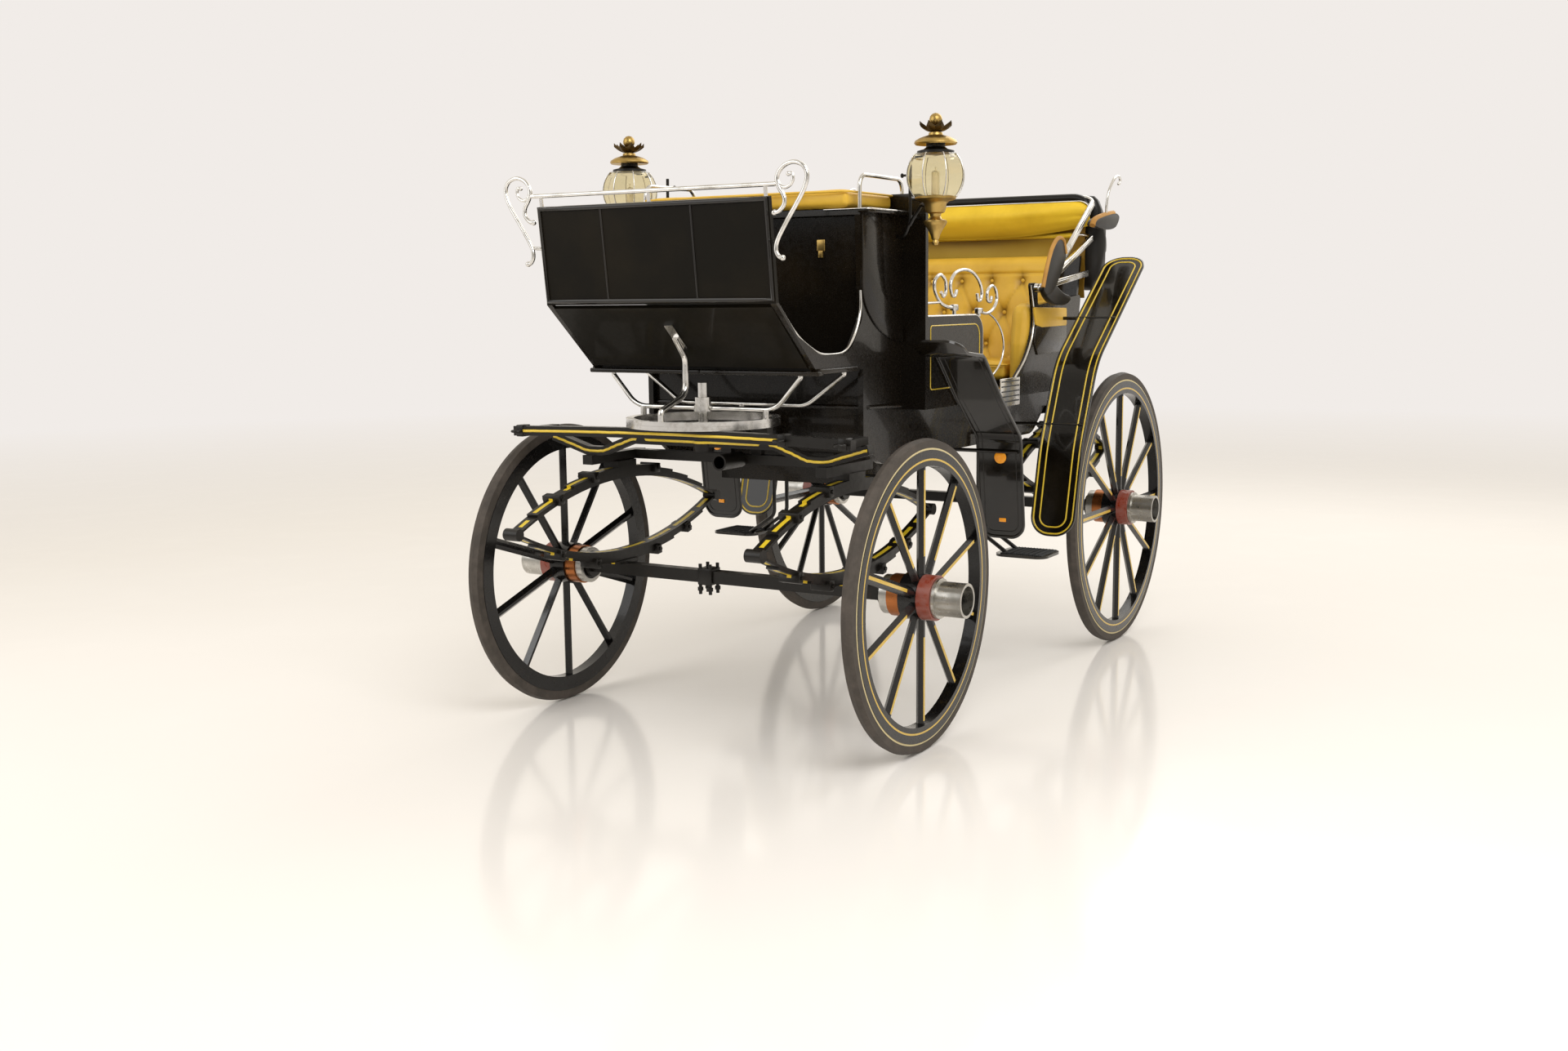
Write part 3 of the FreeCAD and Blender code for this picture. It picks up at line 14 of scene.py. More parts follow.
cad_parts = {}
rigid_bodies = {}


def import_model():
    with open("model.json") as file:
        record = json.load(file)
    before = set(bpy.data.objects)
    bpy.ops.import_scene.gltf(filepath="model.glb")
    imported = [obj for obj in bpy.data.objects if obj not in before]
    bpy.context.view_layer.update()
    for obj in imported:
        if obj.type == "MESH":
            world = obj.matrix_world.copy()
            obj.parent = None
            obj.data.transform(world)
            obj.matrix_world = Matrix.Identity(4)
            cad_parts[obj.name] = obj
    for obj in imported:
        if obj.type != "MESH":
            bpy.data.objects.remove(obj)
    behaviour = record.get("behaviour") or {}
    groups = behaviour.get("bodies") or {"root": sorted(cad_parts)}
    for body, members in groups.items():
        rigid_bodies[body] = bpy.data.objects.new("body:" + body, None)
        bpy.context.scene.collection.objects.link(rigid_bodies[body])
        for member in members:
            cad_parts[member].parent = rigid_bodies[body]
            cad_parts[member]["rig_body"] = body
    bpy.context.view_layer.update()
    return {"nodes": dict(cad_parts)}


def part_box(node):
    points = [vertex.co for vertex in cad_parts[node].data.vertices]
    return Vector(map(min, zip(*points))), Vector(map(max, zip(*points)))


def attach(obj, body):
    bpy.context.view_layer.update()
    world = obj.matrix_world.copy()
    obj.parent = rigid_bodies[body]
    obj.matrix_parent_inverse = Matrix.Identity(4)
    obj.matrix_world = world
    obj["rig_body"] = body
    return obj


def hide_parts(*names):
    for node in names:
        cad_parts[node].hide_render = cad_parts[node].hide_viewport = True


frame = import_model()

MM = 0.001


def low(name):
    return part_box(name)[0]


def high(name):
    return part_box(name)[1]


def middle(name):
    return (low(name) + high(name)) / 2


# %% [markdown]
# ## Camera
# The camera stands a little off the carriage's nose on its left, at standing eye height, and looks
# slightly down. Its turn is given as yaw, pitch and roll, which are easier to think in than three
# Euler angles, and a matrix is built from the three directions they give.

# %% Camera
EYE = Vector((5.3136, 2.8193, 1.4368))
YAW, PITCH, ROLL = math.radians(-149.26), math.radians(-8.28), math.radians(-0.57)
FOCAL_LENGTH, SENSOR_WIDTH = 35.88, 36.0

ahead = Vector((math.cos(YAW) * math.cos(PITCH), math.sin(YAW) * math.cos(PITCH), math.sin(PITCH)))
level_right = ahead.cross(Vector((0, 0, 1))).normalized()
level_up = level_right.cross(ahead)
right = math.cos(ROLL) * level_right + math.sin(ROLL) * level_up
up = math.cos(ROLL) * level_up - math.sin(ROLL) * level_right
bpy.ops.object.camera_add(location=EYE)
camera = bpy.context.object
camera.matrix_world = Matrix.Translation(EYE) @ Matrix((right, up, -ahead)).transposed().to_4x4()
camera.data.lens = FOCAL_LENGTH
camera.data.sensor_width = SENSOR_WIDTH
bpy.context.scene.camera = camera
bpy.context.scene.view_settings.view_transform = "Standard"

# %% [markdown]
# ## Shaders
# Every finish below is one Principled shader fed by a few noise and maths nodes. Two helpers keep
# the cells short: one turns a sRGB hex colour to the linear numbers that shaders expect, the other
# adds a node, sets its values and links its inputs.


# %% Shader helpers
def linear(code):
    """A sRGB hex colour as linear red, green, blue and alpha."""
    channels = [int(code[i:i + 2], 16) / 255 for i in (1, 3, 5)]
    return [c / 12.92 if c <= 0.04045 else ((c + 0.055) / 1.055) ** 2.4 for c in channels] + [1]


def add(tree, kind, inputs=(), **settings):
    """Adds a node; inputs maps a socket to a value or to the output that feeds it."""
    made = tree.nodes.new("ShaderNode" + kind)
    for name, value in settings.items():
        setattr(made, name, value)
    for key, value in dict(inputs).items():
        if isinstance(value, bpy.types.NodeSocket):
            tree.links.new(value, made.inputs[key])
        else:
            made.inputs[key].default_value = value
    return made


def finish_named(name, **settings):
    """A new material: its tree, its Principled shader and its Object coordinates."""
    material = bpy.data.materials.new(name)
    material.use_nodes = True
    tree = material.node_tree
    shader = tree.nodes["Principled BSDF"]
    for key, value in settings.items():
        shader.inputs[key.replace("_", " ")].default_value = value
    return material, tree, shader, add(tree, "TexCoord").outputs["Object"]


def feed(node, **sources):
    """Links each source to the input it is named for, with an underscore for every space."""
    for name, source in sources.items():
        node.id_data.links.new(source, node.inputs[name.replace("_", " ")])


def maths(tree, operation, *values):
    return add(tree, "Math", enumerate(values), operation=operation).outputs[0]


def grain(tree, place, scale, detail=4.0, roughness=0.55):
    """Noise with features about 1 / scale metres across, from 0 to 1."""
    return add(tree, "TexNoise", {"Vector": place, "Scale": scale, "Detail": detail,
                                  "Roughness": roughness}).outputs["Fac"]


def spread(tree, value, start, end, low_out=0.0, high_out=1.0):
    """Stretches a value from the range start to end over low_out to high_out."""
    return add(tree, "MapRange", {0: value, 1: start, 2: end, 3: low_out, 4: high_out}).outputs[0]


def blend_colours(tree, factor, first, second):
    mixed = add(tree, "Mix", data_type="RGBA")
    for socket, value in zip((mixed.inputs[0], mixed.inputs[6], mixed.inputs[7]), (factor, first, second)):
        if isinstance(value, bpy.types.NodeSocket):
            tree.links.new(value, socket)
        else:
            socket.default_value = linear(value) if isinstance(value, str) else value
    return mixed.outputs[2]


def bumped(tree, shader, height, distance, strength=1.0):
    """Raises the surface by height times distance, in metres."""
    relief = add(tree, "Bump", {"Height": height, "Distance": distance, "Strength": strength})
    feed(shader, Normal=relief.outputs[0])


def between(tree, value, start, end):
    """1 where value lies from start to end."""
    return maths(tree, "MULTIPLY", maths(tree, "GREATER_THAN", value, start),
                 maths(tree, "LESS_THAN", value, end))


# %% [markdown]
# ## Black coachwork
# Coach panels are painted wood: many coats of black, rubbed down and varnished. The varnish gives a
# clear reflection that wavers, because the wood under it moves, and old varnish turns faintly brown
# and dull in patches. A coat layer carries the clear reflection, slow noise bends it, and finer noise
# breaks the roughness up.


# %% Coach varnish
def coach_varnish(name, base="#100c07", worn="#211a10", dull=0.24, shine=0.25, level=0.2):
    material, tree, shader, place = finish_named(name, Coat_Weight=shine, Coat_Roughness=0.06,
                                                 Specular_IOR_Level=level)
    patches, scuffs = grain(tree, place, 3.5, 6), grain(tree, place, 60, 8, 0.7)
    slow = grain(tree, place, 5, 2)
    feed(shader, Base_Color=blend_colours(tree, spread(tree, patches, 0.45, 0.75), base, worn),
         Roughness=spread(tree, scuffs, 0.3, 0.8, dull - 0.06, dull + 0.14))
    bumped(tree, shader, maths(tree, "MULTIPLY_ADD", scuffs, 0.015, slow), 5 * MM, 0.4)
    return material


varnish = coach_varnish("black_coach_varnish")
patent_leather = coach_varnish("black_patent_leather", "#0e0b07", "#1c170f", 0.16, 0.5, 0.25)
dash_leather = coach_varnish("black_dash_leather", "#0e0b05", "#19140a", 0.42, 0.06, 0.10)

# %% [markdown]
# ## Black enamelled iron with yellow lines
# Springs, axles and bars are forged iron under brushed enamel. A line painter then runs a yellow line
# along the middle of each spring leaf, broken under every clip. The line is a mask on the Object
# coordinates, which here are the carriage's own metres: inside it the colour turns yellow.


# %% Iron enamel
LINE_YELLOW = "#d9bc2a"


def iron_enamel(name, line=None):
    material, tree, shader, place = finish_named(name, Coat_Weight=0.15, Coat_Roughness=0.2,
                                                 Specular_IOR_Level=0.3)
    rust = spread(tree, grain(tree, place, 14, 8, 0.7), 0.62, 0.78, 0, 0.5)
    colour = blend_colours(tree, rust, "#0f0c08", "#2c1e12")
    if line:
        colour = blend_colours(tree, line(tree, place), colour, LINE_YELLOW)
    runs = grain(tree, place, 45, 6, 0.6)
    feed(shader, Base_Color=colour, Roughness=spread(tree, runs, 0.3, 0.75, 0.28, 0.5))
    bumped(tree, shader, runs, 0.8 * MM, 0.4)
    return material


SPRING_INSET = 30 * MM
DASHES_PER_METRE, PAINTED_SHARE, LINE_HALF, EYE_CLEAR = 6.3, 0.8, 8 * MM, 55 * MM


def spring_line(tree, place):
    """A dashed line down the middle of each spring, clear of the eyes at its ends."""
    axes = add(tree, "SeparateXYZ", {0: place}).outputs
    spring_y = float(high("front_springs").y) - SPRING_INSET
    off = maths(tree, "ABSOLUTE", maths(tree, "SUBTRACT", maths(tree, "ABSOLUTE", axes[1]), spring_y))
    dash = maths(tree, "FRACT", maths(tree, "MULTIPLY", axes[0], DASHES_PER_METRE))
    eye = float(high("front_springs").x) - middle("front_axle").x - EYE_CLEAR
    reaches = [maths(tree, "ABSOLUTE", maths(tree, "SUBTRACT", axes[0], middle(axle).x))
               for axle in ("front_axle", "rear_axle")]
    clear = [maths(tree, "LESS_THAN", reach, eye) for reach in reaches]
    line = maths(tree, "MULTIPLY", maths(tree, "LESS_THAN", off, LINE_HALF),
                 maths(tree, "LESS_THAN", dash, PAINTED_SHARE))
    return maths(tree, "MULTIPLY", line, maths(tree, "MAXIMUM", clear[0], clear[1]))


enamel = iron_enamel("black_iron_enamel")
lined_enamel = iron_enamel("lined_spring_enamel", spring_line)

# %% [markdown]
# ## Bright metal, brass and glass
# Rails and irons are nickel plated: nearly white, quite smooth, with a haze where polish has worn
# through. The lamps' mounts are brass gone soft and brown. Metals keep the shader's default IOR and
# take their tint from the base colour.


# %% Metals and glass
def plated(name, bright, dim, roughness, bump=0.12):
    material, tree, shader, place = finish_named(name, Metallic=1.0)
    haze = grain(tree, place, 16, 5, 0.6)
    feed(shader, Base_Color=blend_colours(tree, spread(tree, haze, 0.5, 0.78), bright, dim),
         Roughness=spread(tree, haze, 0.3, 0.75, roughness, roughness + 0.16))
    bumped(tree, shader, grain(tree, place, 90, 3), 0.2 * MM, bump)
    return material


nickel = plated("worn_nickel_plate", "#dedcd8", "#a9a59d", 0.13)
brass = plated("dull_brass", "#b89a5a", "#86693a", 0.3)
bronze = plated("dark_bronze", "#54452c", "#241c12", 0.36)

globe_glass, globe_tree, globe_shader, globe_place = finish_named(
    "bevelled_globe_glass", Base_Color=linear("#f2ebd2"), Roughness=0.03, IOR=1.5, Transmission_Weight=1.0)
bumped(globe_tree, globe_shader, grain(globe_tree, globe_place, 25, 2), 0.5 * MM, 0.3)

amber, amber_tree, amber_shader, amber_place = finish_named(
    "amber_reflector", Roughness=0.25, Coat_Weight=0.5)
prisms = add(amber_tree, "TexVoronoi", {"Vector": amber_place, "Scale": 280}).outputs["Distance"]
# Painted glint: each prism facet turns a lighter amber towards its raised edges.
feed(amber_shader, Base_Color=blend_colours(amber_tree, prisms, "#f08a08", "#ffb020"))
bumped(amber_tree, amber_shader, prisms, 1 * MM, 0.5)

# %% [markdown]
# ## Wheels
# A tyre is grey solid rubber held in a channel. The felloe, the wooden rim, carries one line at the
# tyre's edge and one inside it, and every spoke has a line down its face. All are drawn by masks in
# polar coordinates about the axle: distance from the axle for the rings, and the distance across the
# nearest spoke's middle for the lines.

# %% Wheel paint
CREAM_LINE = "#cdbf94"
TYRE_RING, FELLOE_RING = 6 * MM, (33 * MM, 27 * MM)
SPOKE_LINE_HALF, SPOKE_START, FELLOE_DEPTH = 5.5 * MM, 0.13, 62 * MM
COPPER_BAND, RED_BAND = (-90.5 * MM, -30 * MM), (0.0, 60.5 * MM)


def polar(tree, place, wheel):
    """Distance from the axle, the angle round it, the distance outboard, and the felloe's radius."""
    centre = middle(wheel + "_tyre")
    axes = add(tree, "SeparateXYZ", {0: place}).outputs
    x, z = (maths(tree, "SUBTRACT", axes[i], float(centre[i])) for i in (0, 2))
    reach = maths(tree, "SQRT", maths(tree, "ADD", maths(tree, "MULTIPLY", x, x),
                                      maths(tree, "MULTIPLY", z, z)))
    outside = maths(tree, "SUBTRACT", maths(tree, "ABSOLUTE", axes[1]), abs(float(centre[1])))
    return reach, maths(tree, "ARCTAN2", x, z), outside, float(high(wheel + "_wood").z - centre.z)


def wheel_paint(end, spokes):
    """Black wheel enamel with a ring on the felloe and a line down every spoke."""
    wheel = "wheel_%s_left" % end
    material, tree, shader, place = finish_named("lined_wheel_enamel_" + end, Coat_Weight=0.25,
                                                 Coat_Roughness=0.1, Specular_IOR_Level=0.3)
    reach, angle, outside, rim = polar(tree, place, wheel)
    ring = between(tree, reach, rim - FELLOE_RING[0], rim - FELLOE_RING[1])
    turn = maths(tree, "MULTIPLY", angle, spokes / (2 * math.pi))
    off = maths(tree, "ABSOLUTE", maths(tree, "SUBTRACT", turn, maths(tree, "ROUND", turn)))
    across = maths(tree, "MULTIPLY", maths(tree, "MULTIPLY", off, 2 * math.pi / spokes), reach)
    run = between(tree, reach, SPOKE_START, rim - FELLOE_DEPTH)
    line = maths(tree, "MULTIPLY", maths(tree, "LESS_THAN", across, SPOKE_LINE_HALF), run)
    front = maths(tree, "GREATER_THAN", outside, 5 * MM)
    lined = maths(tree, "MULTIPLY", maths(tree, "MAXIMUM", ring, line), front)
    worn = spread(tree, grain(tree, place, 35, 6, 0.7), 0.55, 0.8, 0, 0.6)
    colour = blend_colours(tree, worn, "#0b0a0a", "#221a14")
    feed(shader, Base_Color=blend_colours(tree, lined, colour, "#cba945"),
         Roughness=spread(tree, worn, 0, 1, 0.25, 0.5))
    bumped(tree, shader, grain(tree, place, 60, 5), 0.8 * MM, 0.5)
    return material


def tyre_rubber(end):
    wheel = "wheel_%s_left" % end
    material, tree, shader, place = finish_named("solid_tyre_rubber_" + end, Specular_IOR_Level=0.25)
    reach, angle, outside, rim = polar(tree, place, wheel)
    ring = maths(tree, "MULTIPLY", between(tree, reach, rim, rim + TYRE_RING),
                 maths(tree, "GREATER_THAN", outside, 0.0))
    dust = grain(tree, place, 18, 7, 0.65)
    colour = blend_colours(tree, spread(tree, dust, 0.4, 0.7), "#423d38", "#57504a")
    feed(shader, Base_Color=blend_colours(tree, ring, colour, CREAM_LINE),
         Roughness=spread(tree, dust, 0.3, 0.7, 0.55, 0.8))
    bumped(tree, shader, grain(tree, place, 220, 4), 0.6 * MM, 0.6)
    return material


def hub_paint():
    """The hub's rings by their distance from the wheel: nickel, copper, then red paint and nickel again."""
    material, tree, shader, place = finish_named("hub_nickel_copper_and_red")
    reach, angle, outside, rim = polar(tree, place, "wheel_front_left")
    copper, red = between(tree, outside, *COPPER_BAND), between(tree, outside, *RED_BAND)
    haze = grain(tree, place, 30, 6, 0.65)
    metal = blend_colours(tree, copper, blend_colours(tree, haze, "#d5d3cd", "#8f8c86"), "#a8683c")
    edge = maths(tree, "MULTIPLY", red, spread(tree, haze, 0.35, 0.6, 1.0, 0.85))
    feed(shader, Base_Color=blend_colours(tree, edge, metal, "#82290b"),
         Metallic=maths(tree, "SUBTRACT", 1.0, red), Roughness=spread(tree, haze, 0.3, 0.7, 0.22, 0.42))
    bumped(tree, shader, haze, 0.5 * MM, 0.4)
    return material


# %% [markdown]
# ## Yellow leather and the black hood leather
# The seats are yellow leather: a fine pebble grain about 1.5 mm across, stained where hands rub it and
# darkened by painted shade in folds and shadowed parts. Voronoi cells draw the pebbles, slow noise the
# stains.


# %% Leathers
def leather(name, bright, dark, pebble_mm, roughness, shine=0.08, shade_colour=None):
    """Pebbled leather; a piece's own crease attribute, from 0 to 1, paints shade into its folds and
    shadowed parts.
    """
    material, tree, shader, place = finish_named(name, Coat_Weight=shine, Coat_Roughness=0.25,
                                                 Specular_IOR_Level=0.3)
    stains = grain(tree, place, 5, 6, 0.6)
    colour = blend_colours(tree, spread(tree, stains, 0.42, 0.78), bright, dark)
    # Painted shade: the crease attribute pulls the colour towards the shade colour in folds and shadowed
    # parts.
    if shade_colour:
        crease = add(tree, "Attribute", attribute_name="crease").outputs["Fac"]
        colour = blend_colours(tree, crease, colour, shade_colour)
    feed(shader, Base_Color=colour, Roughness=spread(tree, stains, 0.3, 0.7, roughness, roughness + 0.12))
    pebbles = add(tree, "TexVoronoi", {"Vector": place, "Scale": 1000 / pebble_mm / 2}).outputs["Distance"]
    bumped(tree, shader, pebbles, 0.4 * MM, 0.3)
    return material


# The third colour of each yellow leather is its painted shade.
seat_leather = leather("yellow_seat_leather", "#dcb13e", "#c79b2c", 3, 0.42, shade_colour="#8d6a20")
lining_leather = leather("yellow_hood_lining", "#ecc634", "#d2ac26", 2, 0.5, 0.03, shade_colour="#7c5c12")
tan_edge = leather("raw_leather_edge", "#b98a45", "#8e6229", 2, 0.6, 0.0)
hood_hide = leather("black_hood_leather", "#0f0d0a", "#1d1812", 2, 0.36)

mat_rubber, mat_tree, mat_shader, mat_place = finish_named("ribbed_floor_mat", Roughness=0.75)
ribs = add(mat_tree, "TexWave", {"Vector": mat_place, "Scale": 40}, bands_direction="Y").outputs["Fac"]
# Painted shade: the colour follows the ribs, dark in the grooves and lighter on the rib tops.
feed(mat_shader, Base_Color=blend_colours(mat_tree, ribs, "#17181a", "#3b3d40"))
bumped(mat_tree, mat_shader, ribs, 3 * MM)

line_paint, line_tree, line_shader, line_place = finish_named("yellow_line_paint", Roughness=0.35,
                                                              Coat_Weight=0.4)
brushed = grain(line_tree, line_place, 40, 5)
feed(line_shader, Base_Color=blend_colours(line_tree, brushed, "#e2c531", "#c9a522"))

# %% Finishes: a material and the slot that it belongs in
LACQUER, PATENT = (varnish, "black_lacquer"), (patent_leather, "black_lacquer")
YELLOW_LINE, IRON_LINE = (line_paint, "black_lacquer"), (line_paint, "black_iron")
IRON, BRIGHT, BRASS = (enamel, "black_iron"), (nickel, "bright_metal"), (brass, "bright_metal")
BRONZE, GLASS, AMBER = (bronze, "bright_metal"), (globe_glass, "lamp_glass"), (amber, "lamp_glass")
SEAT, LINING = (seat_leather, "seat_cloth"), (lining_leather, "seat_cloth")
RAW_EDGE, HIDE, RUBBER = (tan_edge, "seat_cloth"), (hood_hide, "hood_leather"), (mat_rubber, "floor_mat")

# %% [markdown]
# ## Finishes on the CAD parts
# Each CAD part keeps its mesh, and only its material slot is filled. The wheels come first because
# their paint depends on the end they stand at.


# %% Paint the CAD parts
def paint(name, material):
    data = frame["nodes"][name].data
    data.materials.clear()
    data.materials.append(material)


hub_material = hub_paint()
for end, spokes in (("front", 10), ("rear", 12)):
    rubber, painted = tyre_rubber(end), wheel_paint(end, spokes)
    for side in ("left", "right"):
        for part, material in (("tyre", rubber), ("wood", painted), ("hub", hub_material)):
            paint("wheel_%s_%s_%s" % (end, side, part), material)

CAD_FINISHES = {
    varnish: ("body_sides", "body_floor", "boot_sides", "seat_box", "bulkhead", "jump_seat_sides",
              "bench", "quarter_panels", "rear_seat_box", "rear_panels"),
    dash_leather: ("dash", "boot_floor"),
    patent_leather: ("mudguards", "fenders", "steps"),
    enamel: ("front_axle", "rear_axle", "futchells", "cross_bar", "bed", "splinter_bar", "pole_socket",
             "rear_bed"),
    lined_enamel: ("front_springs", "rear_springs"),
    nickel: ("body_irons", "king_pin", "fifth_wheel_upper", "fifth_wheel_lower", "dash_rail",
             "dash_scrolls", "seat_arm_rails", "side_rails", "hood_pivots", "hood_front_bow",
             "hood_middle_bow", "hood_rear_bow"),
    bronze: ("lamps",),
    globe_glass: ("lamp_glasses",),
    hood_hide: ("hood_leather",),
    seat_leather: ("driver_cushion", "bench_cushion", "rear_cushion", "rear_seat_back", "arm_pads"),
    lining_leather: ("hood_roll",),
}
for material, names in CAD_FINISHES.items():
    for name in names:
        paint(name, material)
bare = [name for name, node in frame["nodes"].items() if not node.data.materials]
print("CAD parts", len(frame["nodes"]), "without a finish", bare)


# %% [markdown]
# ## Modelling helpers
# Each new piece starts as a Blender primitive and is then shaped. A grid whose points are moved by a
# formula suits plates and cloth; a round bar along a bent line suits rails and beading; a subdivided
# cube suits pads. The helpers below make those three starts, and one more hands a finished piece to
# the carriage body that it moves with.


# %% Modelling helpers
def alone(piece):
    bpy.ops.object.select_all(action="DESELECT")
    piece.select_set(True)
    bpy.context.view_layer.objects.active = piece


def apply_modifier(piece, kind, **settings):
    alone(piece)
    modifier = piece.modifiers.new(kind.lower(), kind)
    for name, value in settings.items():
        setattr(modifier, name, value)
    bpy.ops.object.modifier_apply(modifier=modifier.name)


def hand_over(piece, name, finish, body="carriage", smooth=50):
    """Names a finished piece, gives it the finish's material and lets it ride on a body."""
    alone(piece)
    bpy.ops.object.transform_apply(location=True, rotation=True, scale=True)
    piece.name = piece.data.name = name
    material, slot = finish
    piece.data.materials.clear()
    piece.data.materials.append(material)
    bpy.ops.object.shade_smooth_by_angle(angle=math.radians(smooth))
    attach(piece, body)
    return piece


def edited(piece, *steps):
    """Runs mesh steps, each (name, settings), on all of a piece in edit mode."""
    alone(piece)
    bpy.ops.object.mode_set(mode="EDIT")
    bpy.ops.mesh.select_all(action="SELECT")
    for step, settings in steps:
        getattr(bpy.ops.mesh, step)(**settings)
    bpy.ops.object.mode_set(mode="OBJECT")
    return piece


def copied(piece):
    alone(piece)
    bpy.ops.object.duplicate()
    return bpy.context.object


def across(piece, name):
    """The same piece on the carriage's other side."""
    copy = copied(piece)
    copy.parent = None
    copy.matrix_world = Matrix.Identity(4)
    for vertex in copy.data.vertices:
        vertex.co.y = -vertex.co.y
    edited(copy, ("flip_normals", {}))
    copy.name = copy.data.name = name
    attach(copy, piece["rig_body"])
    return copy


def pair(piece, name, finish, body="carriage", smooth=50):
    """Hands over a left piece and its mirror image on the right."""
    left = hand_over(piece, name + "_left", finish, body, smooth)
    return left, across(left, name + "_right")


def joined(pieces):
    bpy.ops.object.select_all(action="DESELECT")
    for piece in pieces:
        piece.select_set(True)
    bpy.context.view_layer.objects.active = pieces[0]
    bpy.ops.object.join()
    return bpy.context.object


def primitive(kind, **settings):
    bpy.ops.object.select_all(action="DESELECT")
    getattr(bpy.ops.mesh, "primitive_%s_add" % kind)(**settings)
    return bpy.context.object


def shaped_grid(across_count, along_count, place):
    """A grid whose points (u, v), each from 0 to 1, are moved to place(u, v)."""
    piece = primitive("grid", x_subdivisions=across_count, y_subdivisions=along_count, size=1)
    for vertex in piece.data.vertices:
        vertex.co = place(vertex.co.x + 0.5, vertex.co.y + 0.5)
    return piece


def diced_cube(cuts):
    """A cube 1 m wide whose faces are cut into small squares."""
    return edited(primitive("cube", size=1), ("subdivide", {"number_cuts": cuts}))


def mend_normals(piece):
    return edited(piece, ("remove_doubles", {"threshold": 0.05 * MM}),
                  ("normals_make_consistent", {"inside": False}))


def bent(corners, steps=6, closed=False):
    """Points along straight runs joined by arcs, from corners (x, y, z) or (x, y, z, radius)."""
    points, count = [], len(corners)
    for i, corner in enumerate(corners):
        here = Vector(corner[:3])
        radius = corner[3] if len(corner) > 3 else 0
        if not radius or (not closed and i in (0, count - 1)):
            points.append(here)
            continue
        before = (Vector(corners[i - 1][:3]) - here).normalized()
        after = (Vector(corners[(i + 1) % count][:3]) - here).normalized()
        half = before.angle(after) / 2
        centre = here + (before + after).normalized() * (radius / math.sin(half))
        start = here + before * (radius / math.tan(half)) - centre
        end = here + after * (radius / math.tan(half)) - centre
        turn = start.angle(end)
        for step in range(steps + 1):
            share = step / steps
            arm = start * math.sin((1 - share) * turn) + end * math.sin(share * turn)
            points.append(centre + arm / math.sin(turn))
    return points


def bar(points, radius, closed=False, sides=2):
    """A round bar along points, its ends closed."""
    bpy.ops.object.select_all(action="DESELECT")
    bpy.ops.curve.primitive_nurbs_path_add()
    path = bpy.context.object
    path.data.splines.clear()
    spline = path.data.splines.new("POLY")
    spline.points.add(len(points) - 1)
    for spot, point in zip(spline.points, points):
        spot.co = (*point, 1)
    spline.use_cyclic_u = closed
    path.data.bevel_depth = radius
    path.data.bevel_resolution = sides
    path.data.use_fill_caps = True
    bpy.ops.object.convert(target="MESH")
    return mend_normals(bpy.context.object)


def ball(place, radius, squash=(1, 1, 1), rings=10):
    piece = primitive("uv_sphere", segments=2 * rings, ring_count=rings, radius=radius, location=place)
    piece.scale = squash
    bpy.ops.object.transform_apply(location=True, rotation=True, scale=True)
    return piece


def block(start, end, edge=1.5 * MM, cuts=2):
    """A rectangular bar between two corners with rounded edges."""
    start, end = Vector(start), Vector(end)
    piece = primitive("cube", size=1, location=(start + end) / 2)
    piece.scale = end - start
    bpy.ops.object.transform_apply(location=True, rotation=True, scale=True)
    apply_modifier(piece, "BEVEL", width=edge, segments=cuts)
    return piece


def turned_round(profile, place, steps=32):
    """A turned piece: a vertical outline of (radius, height) spun once round the upright through place."""
    rows = len(profile) - 1

    def around(u, v):
        radius, height = profile[round(v * rows)]
        turn = 2 * math.pi * u
        return place[0] + radius * math.cos(turn), place[1] + radius * math.sin(turn), place[2] + height

    return mend_normals(shaped_grid(steps, rows, around))


# %% [markdown]
# ## Seat cushions
# A coach cushion is a boxed leather pad: it swells in the middle and pulls in between its corners.
# The cloth simulation gives that swell: a slightly small closed box is remeshed to even faces, given
# pressure inside with no gravity, and run for twenty frames. How far any point may move is capped, so
# a pad never leaves its place on the seat.

# %% Cushion maker
VOXEL = 7 * MM
SWELL_FRAMES = 20


def swollen(start, end, cap, pressure=4.0, shrink=8 * MM):
    """A boxed cushion between two corners, blown up by cloth pressure."""
    inset = Vector((shrink, shrink, shrink))
    start, end = Vector(start), Vector(end)
    piece = block(start + inset, end - inset, 12 * MM, 3)
    apply_modifier(piece, "REMESH", mode="VOXEL", voxel_size=VOXEL)
    rest = [vertex.co.copy() for vertex in piece.data.vertices]
    cloth = piece.modifiers.new("cloth", "CLOTH")
    cloth.settings.effector_weights.gravity = 0
    for name, value in (("quality", 5), ("use_pressure", True), ("uniform_pressure_force", pressure),
                        ("tension_stiffness", 12), ("bending_stiffness", 0.6)):
        setattr(cloth.settings, name, value)
    for step in range(1, SWELL_FRAMES + 1):
        bpy.context.scene.frame_set(step)
    alone(piece)
    bpy.ops.object.modifier_apply(modifier=cloth.name)
    bpy.context.scene.frame_set(1)
    margin = Vector((1, 1, 1)) * 0.5 * MM
    for vertex, before in zip(piece.data.vertices, rest):
        moved = vertex.co - before
        if moved.length > cap:
            vertex.co = before + moved.normalized() * cap
        for axis in range(3):
            ceiling = end[axis] + (cap if axis == 2 else 0)
            vertex.co[axis] = min(max(vertex.co[axis], start[axis] + margin[axis]), ceiling - margin[axis])
    apply_modifier(piece, "SUBSURF", levels=1, render_levels=1)
    return piece


def piping(start, end, height, name):
    """The corded seam round a cushion's top edge."""
    inset, radius = 7 * MM, 30 * MM
    x0, x1, y0, y1 = start.x + inset, end.x - inset, start.y + inset, end.y - inset
    corners = [(x, y, height, radius) for x, y in ((x0, y0), (x1, y0), (x1, y1), (x0, y1))]
    return hand_over(bar(bent(corners, closed=True), 3.5 * MM, closed=True), name, SEAT)


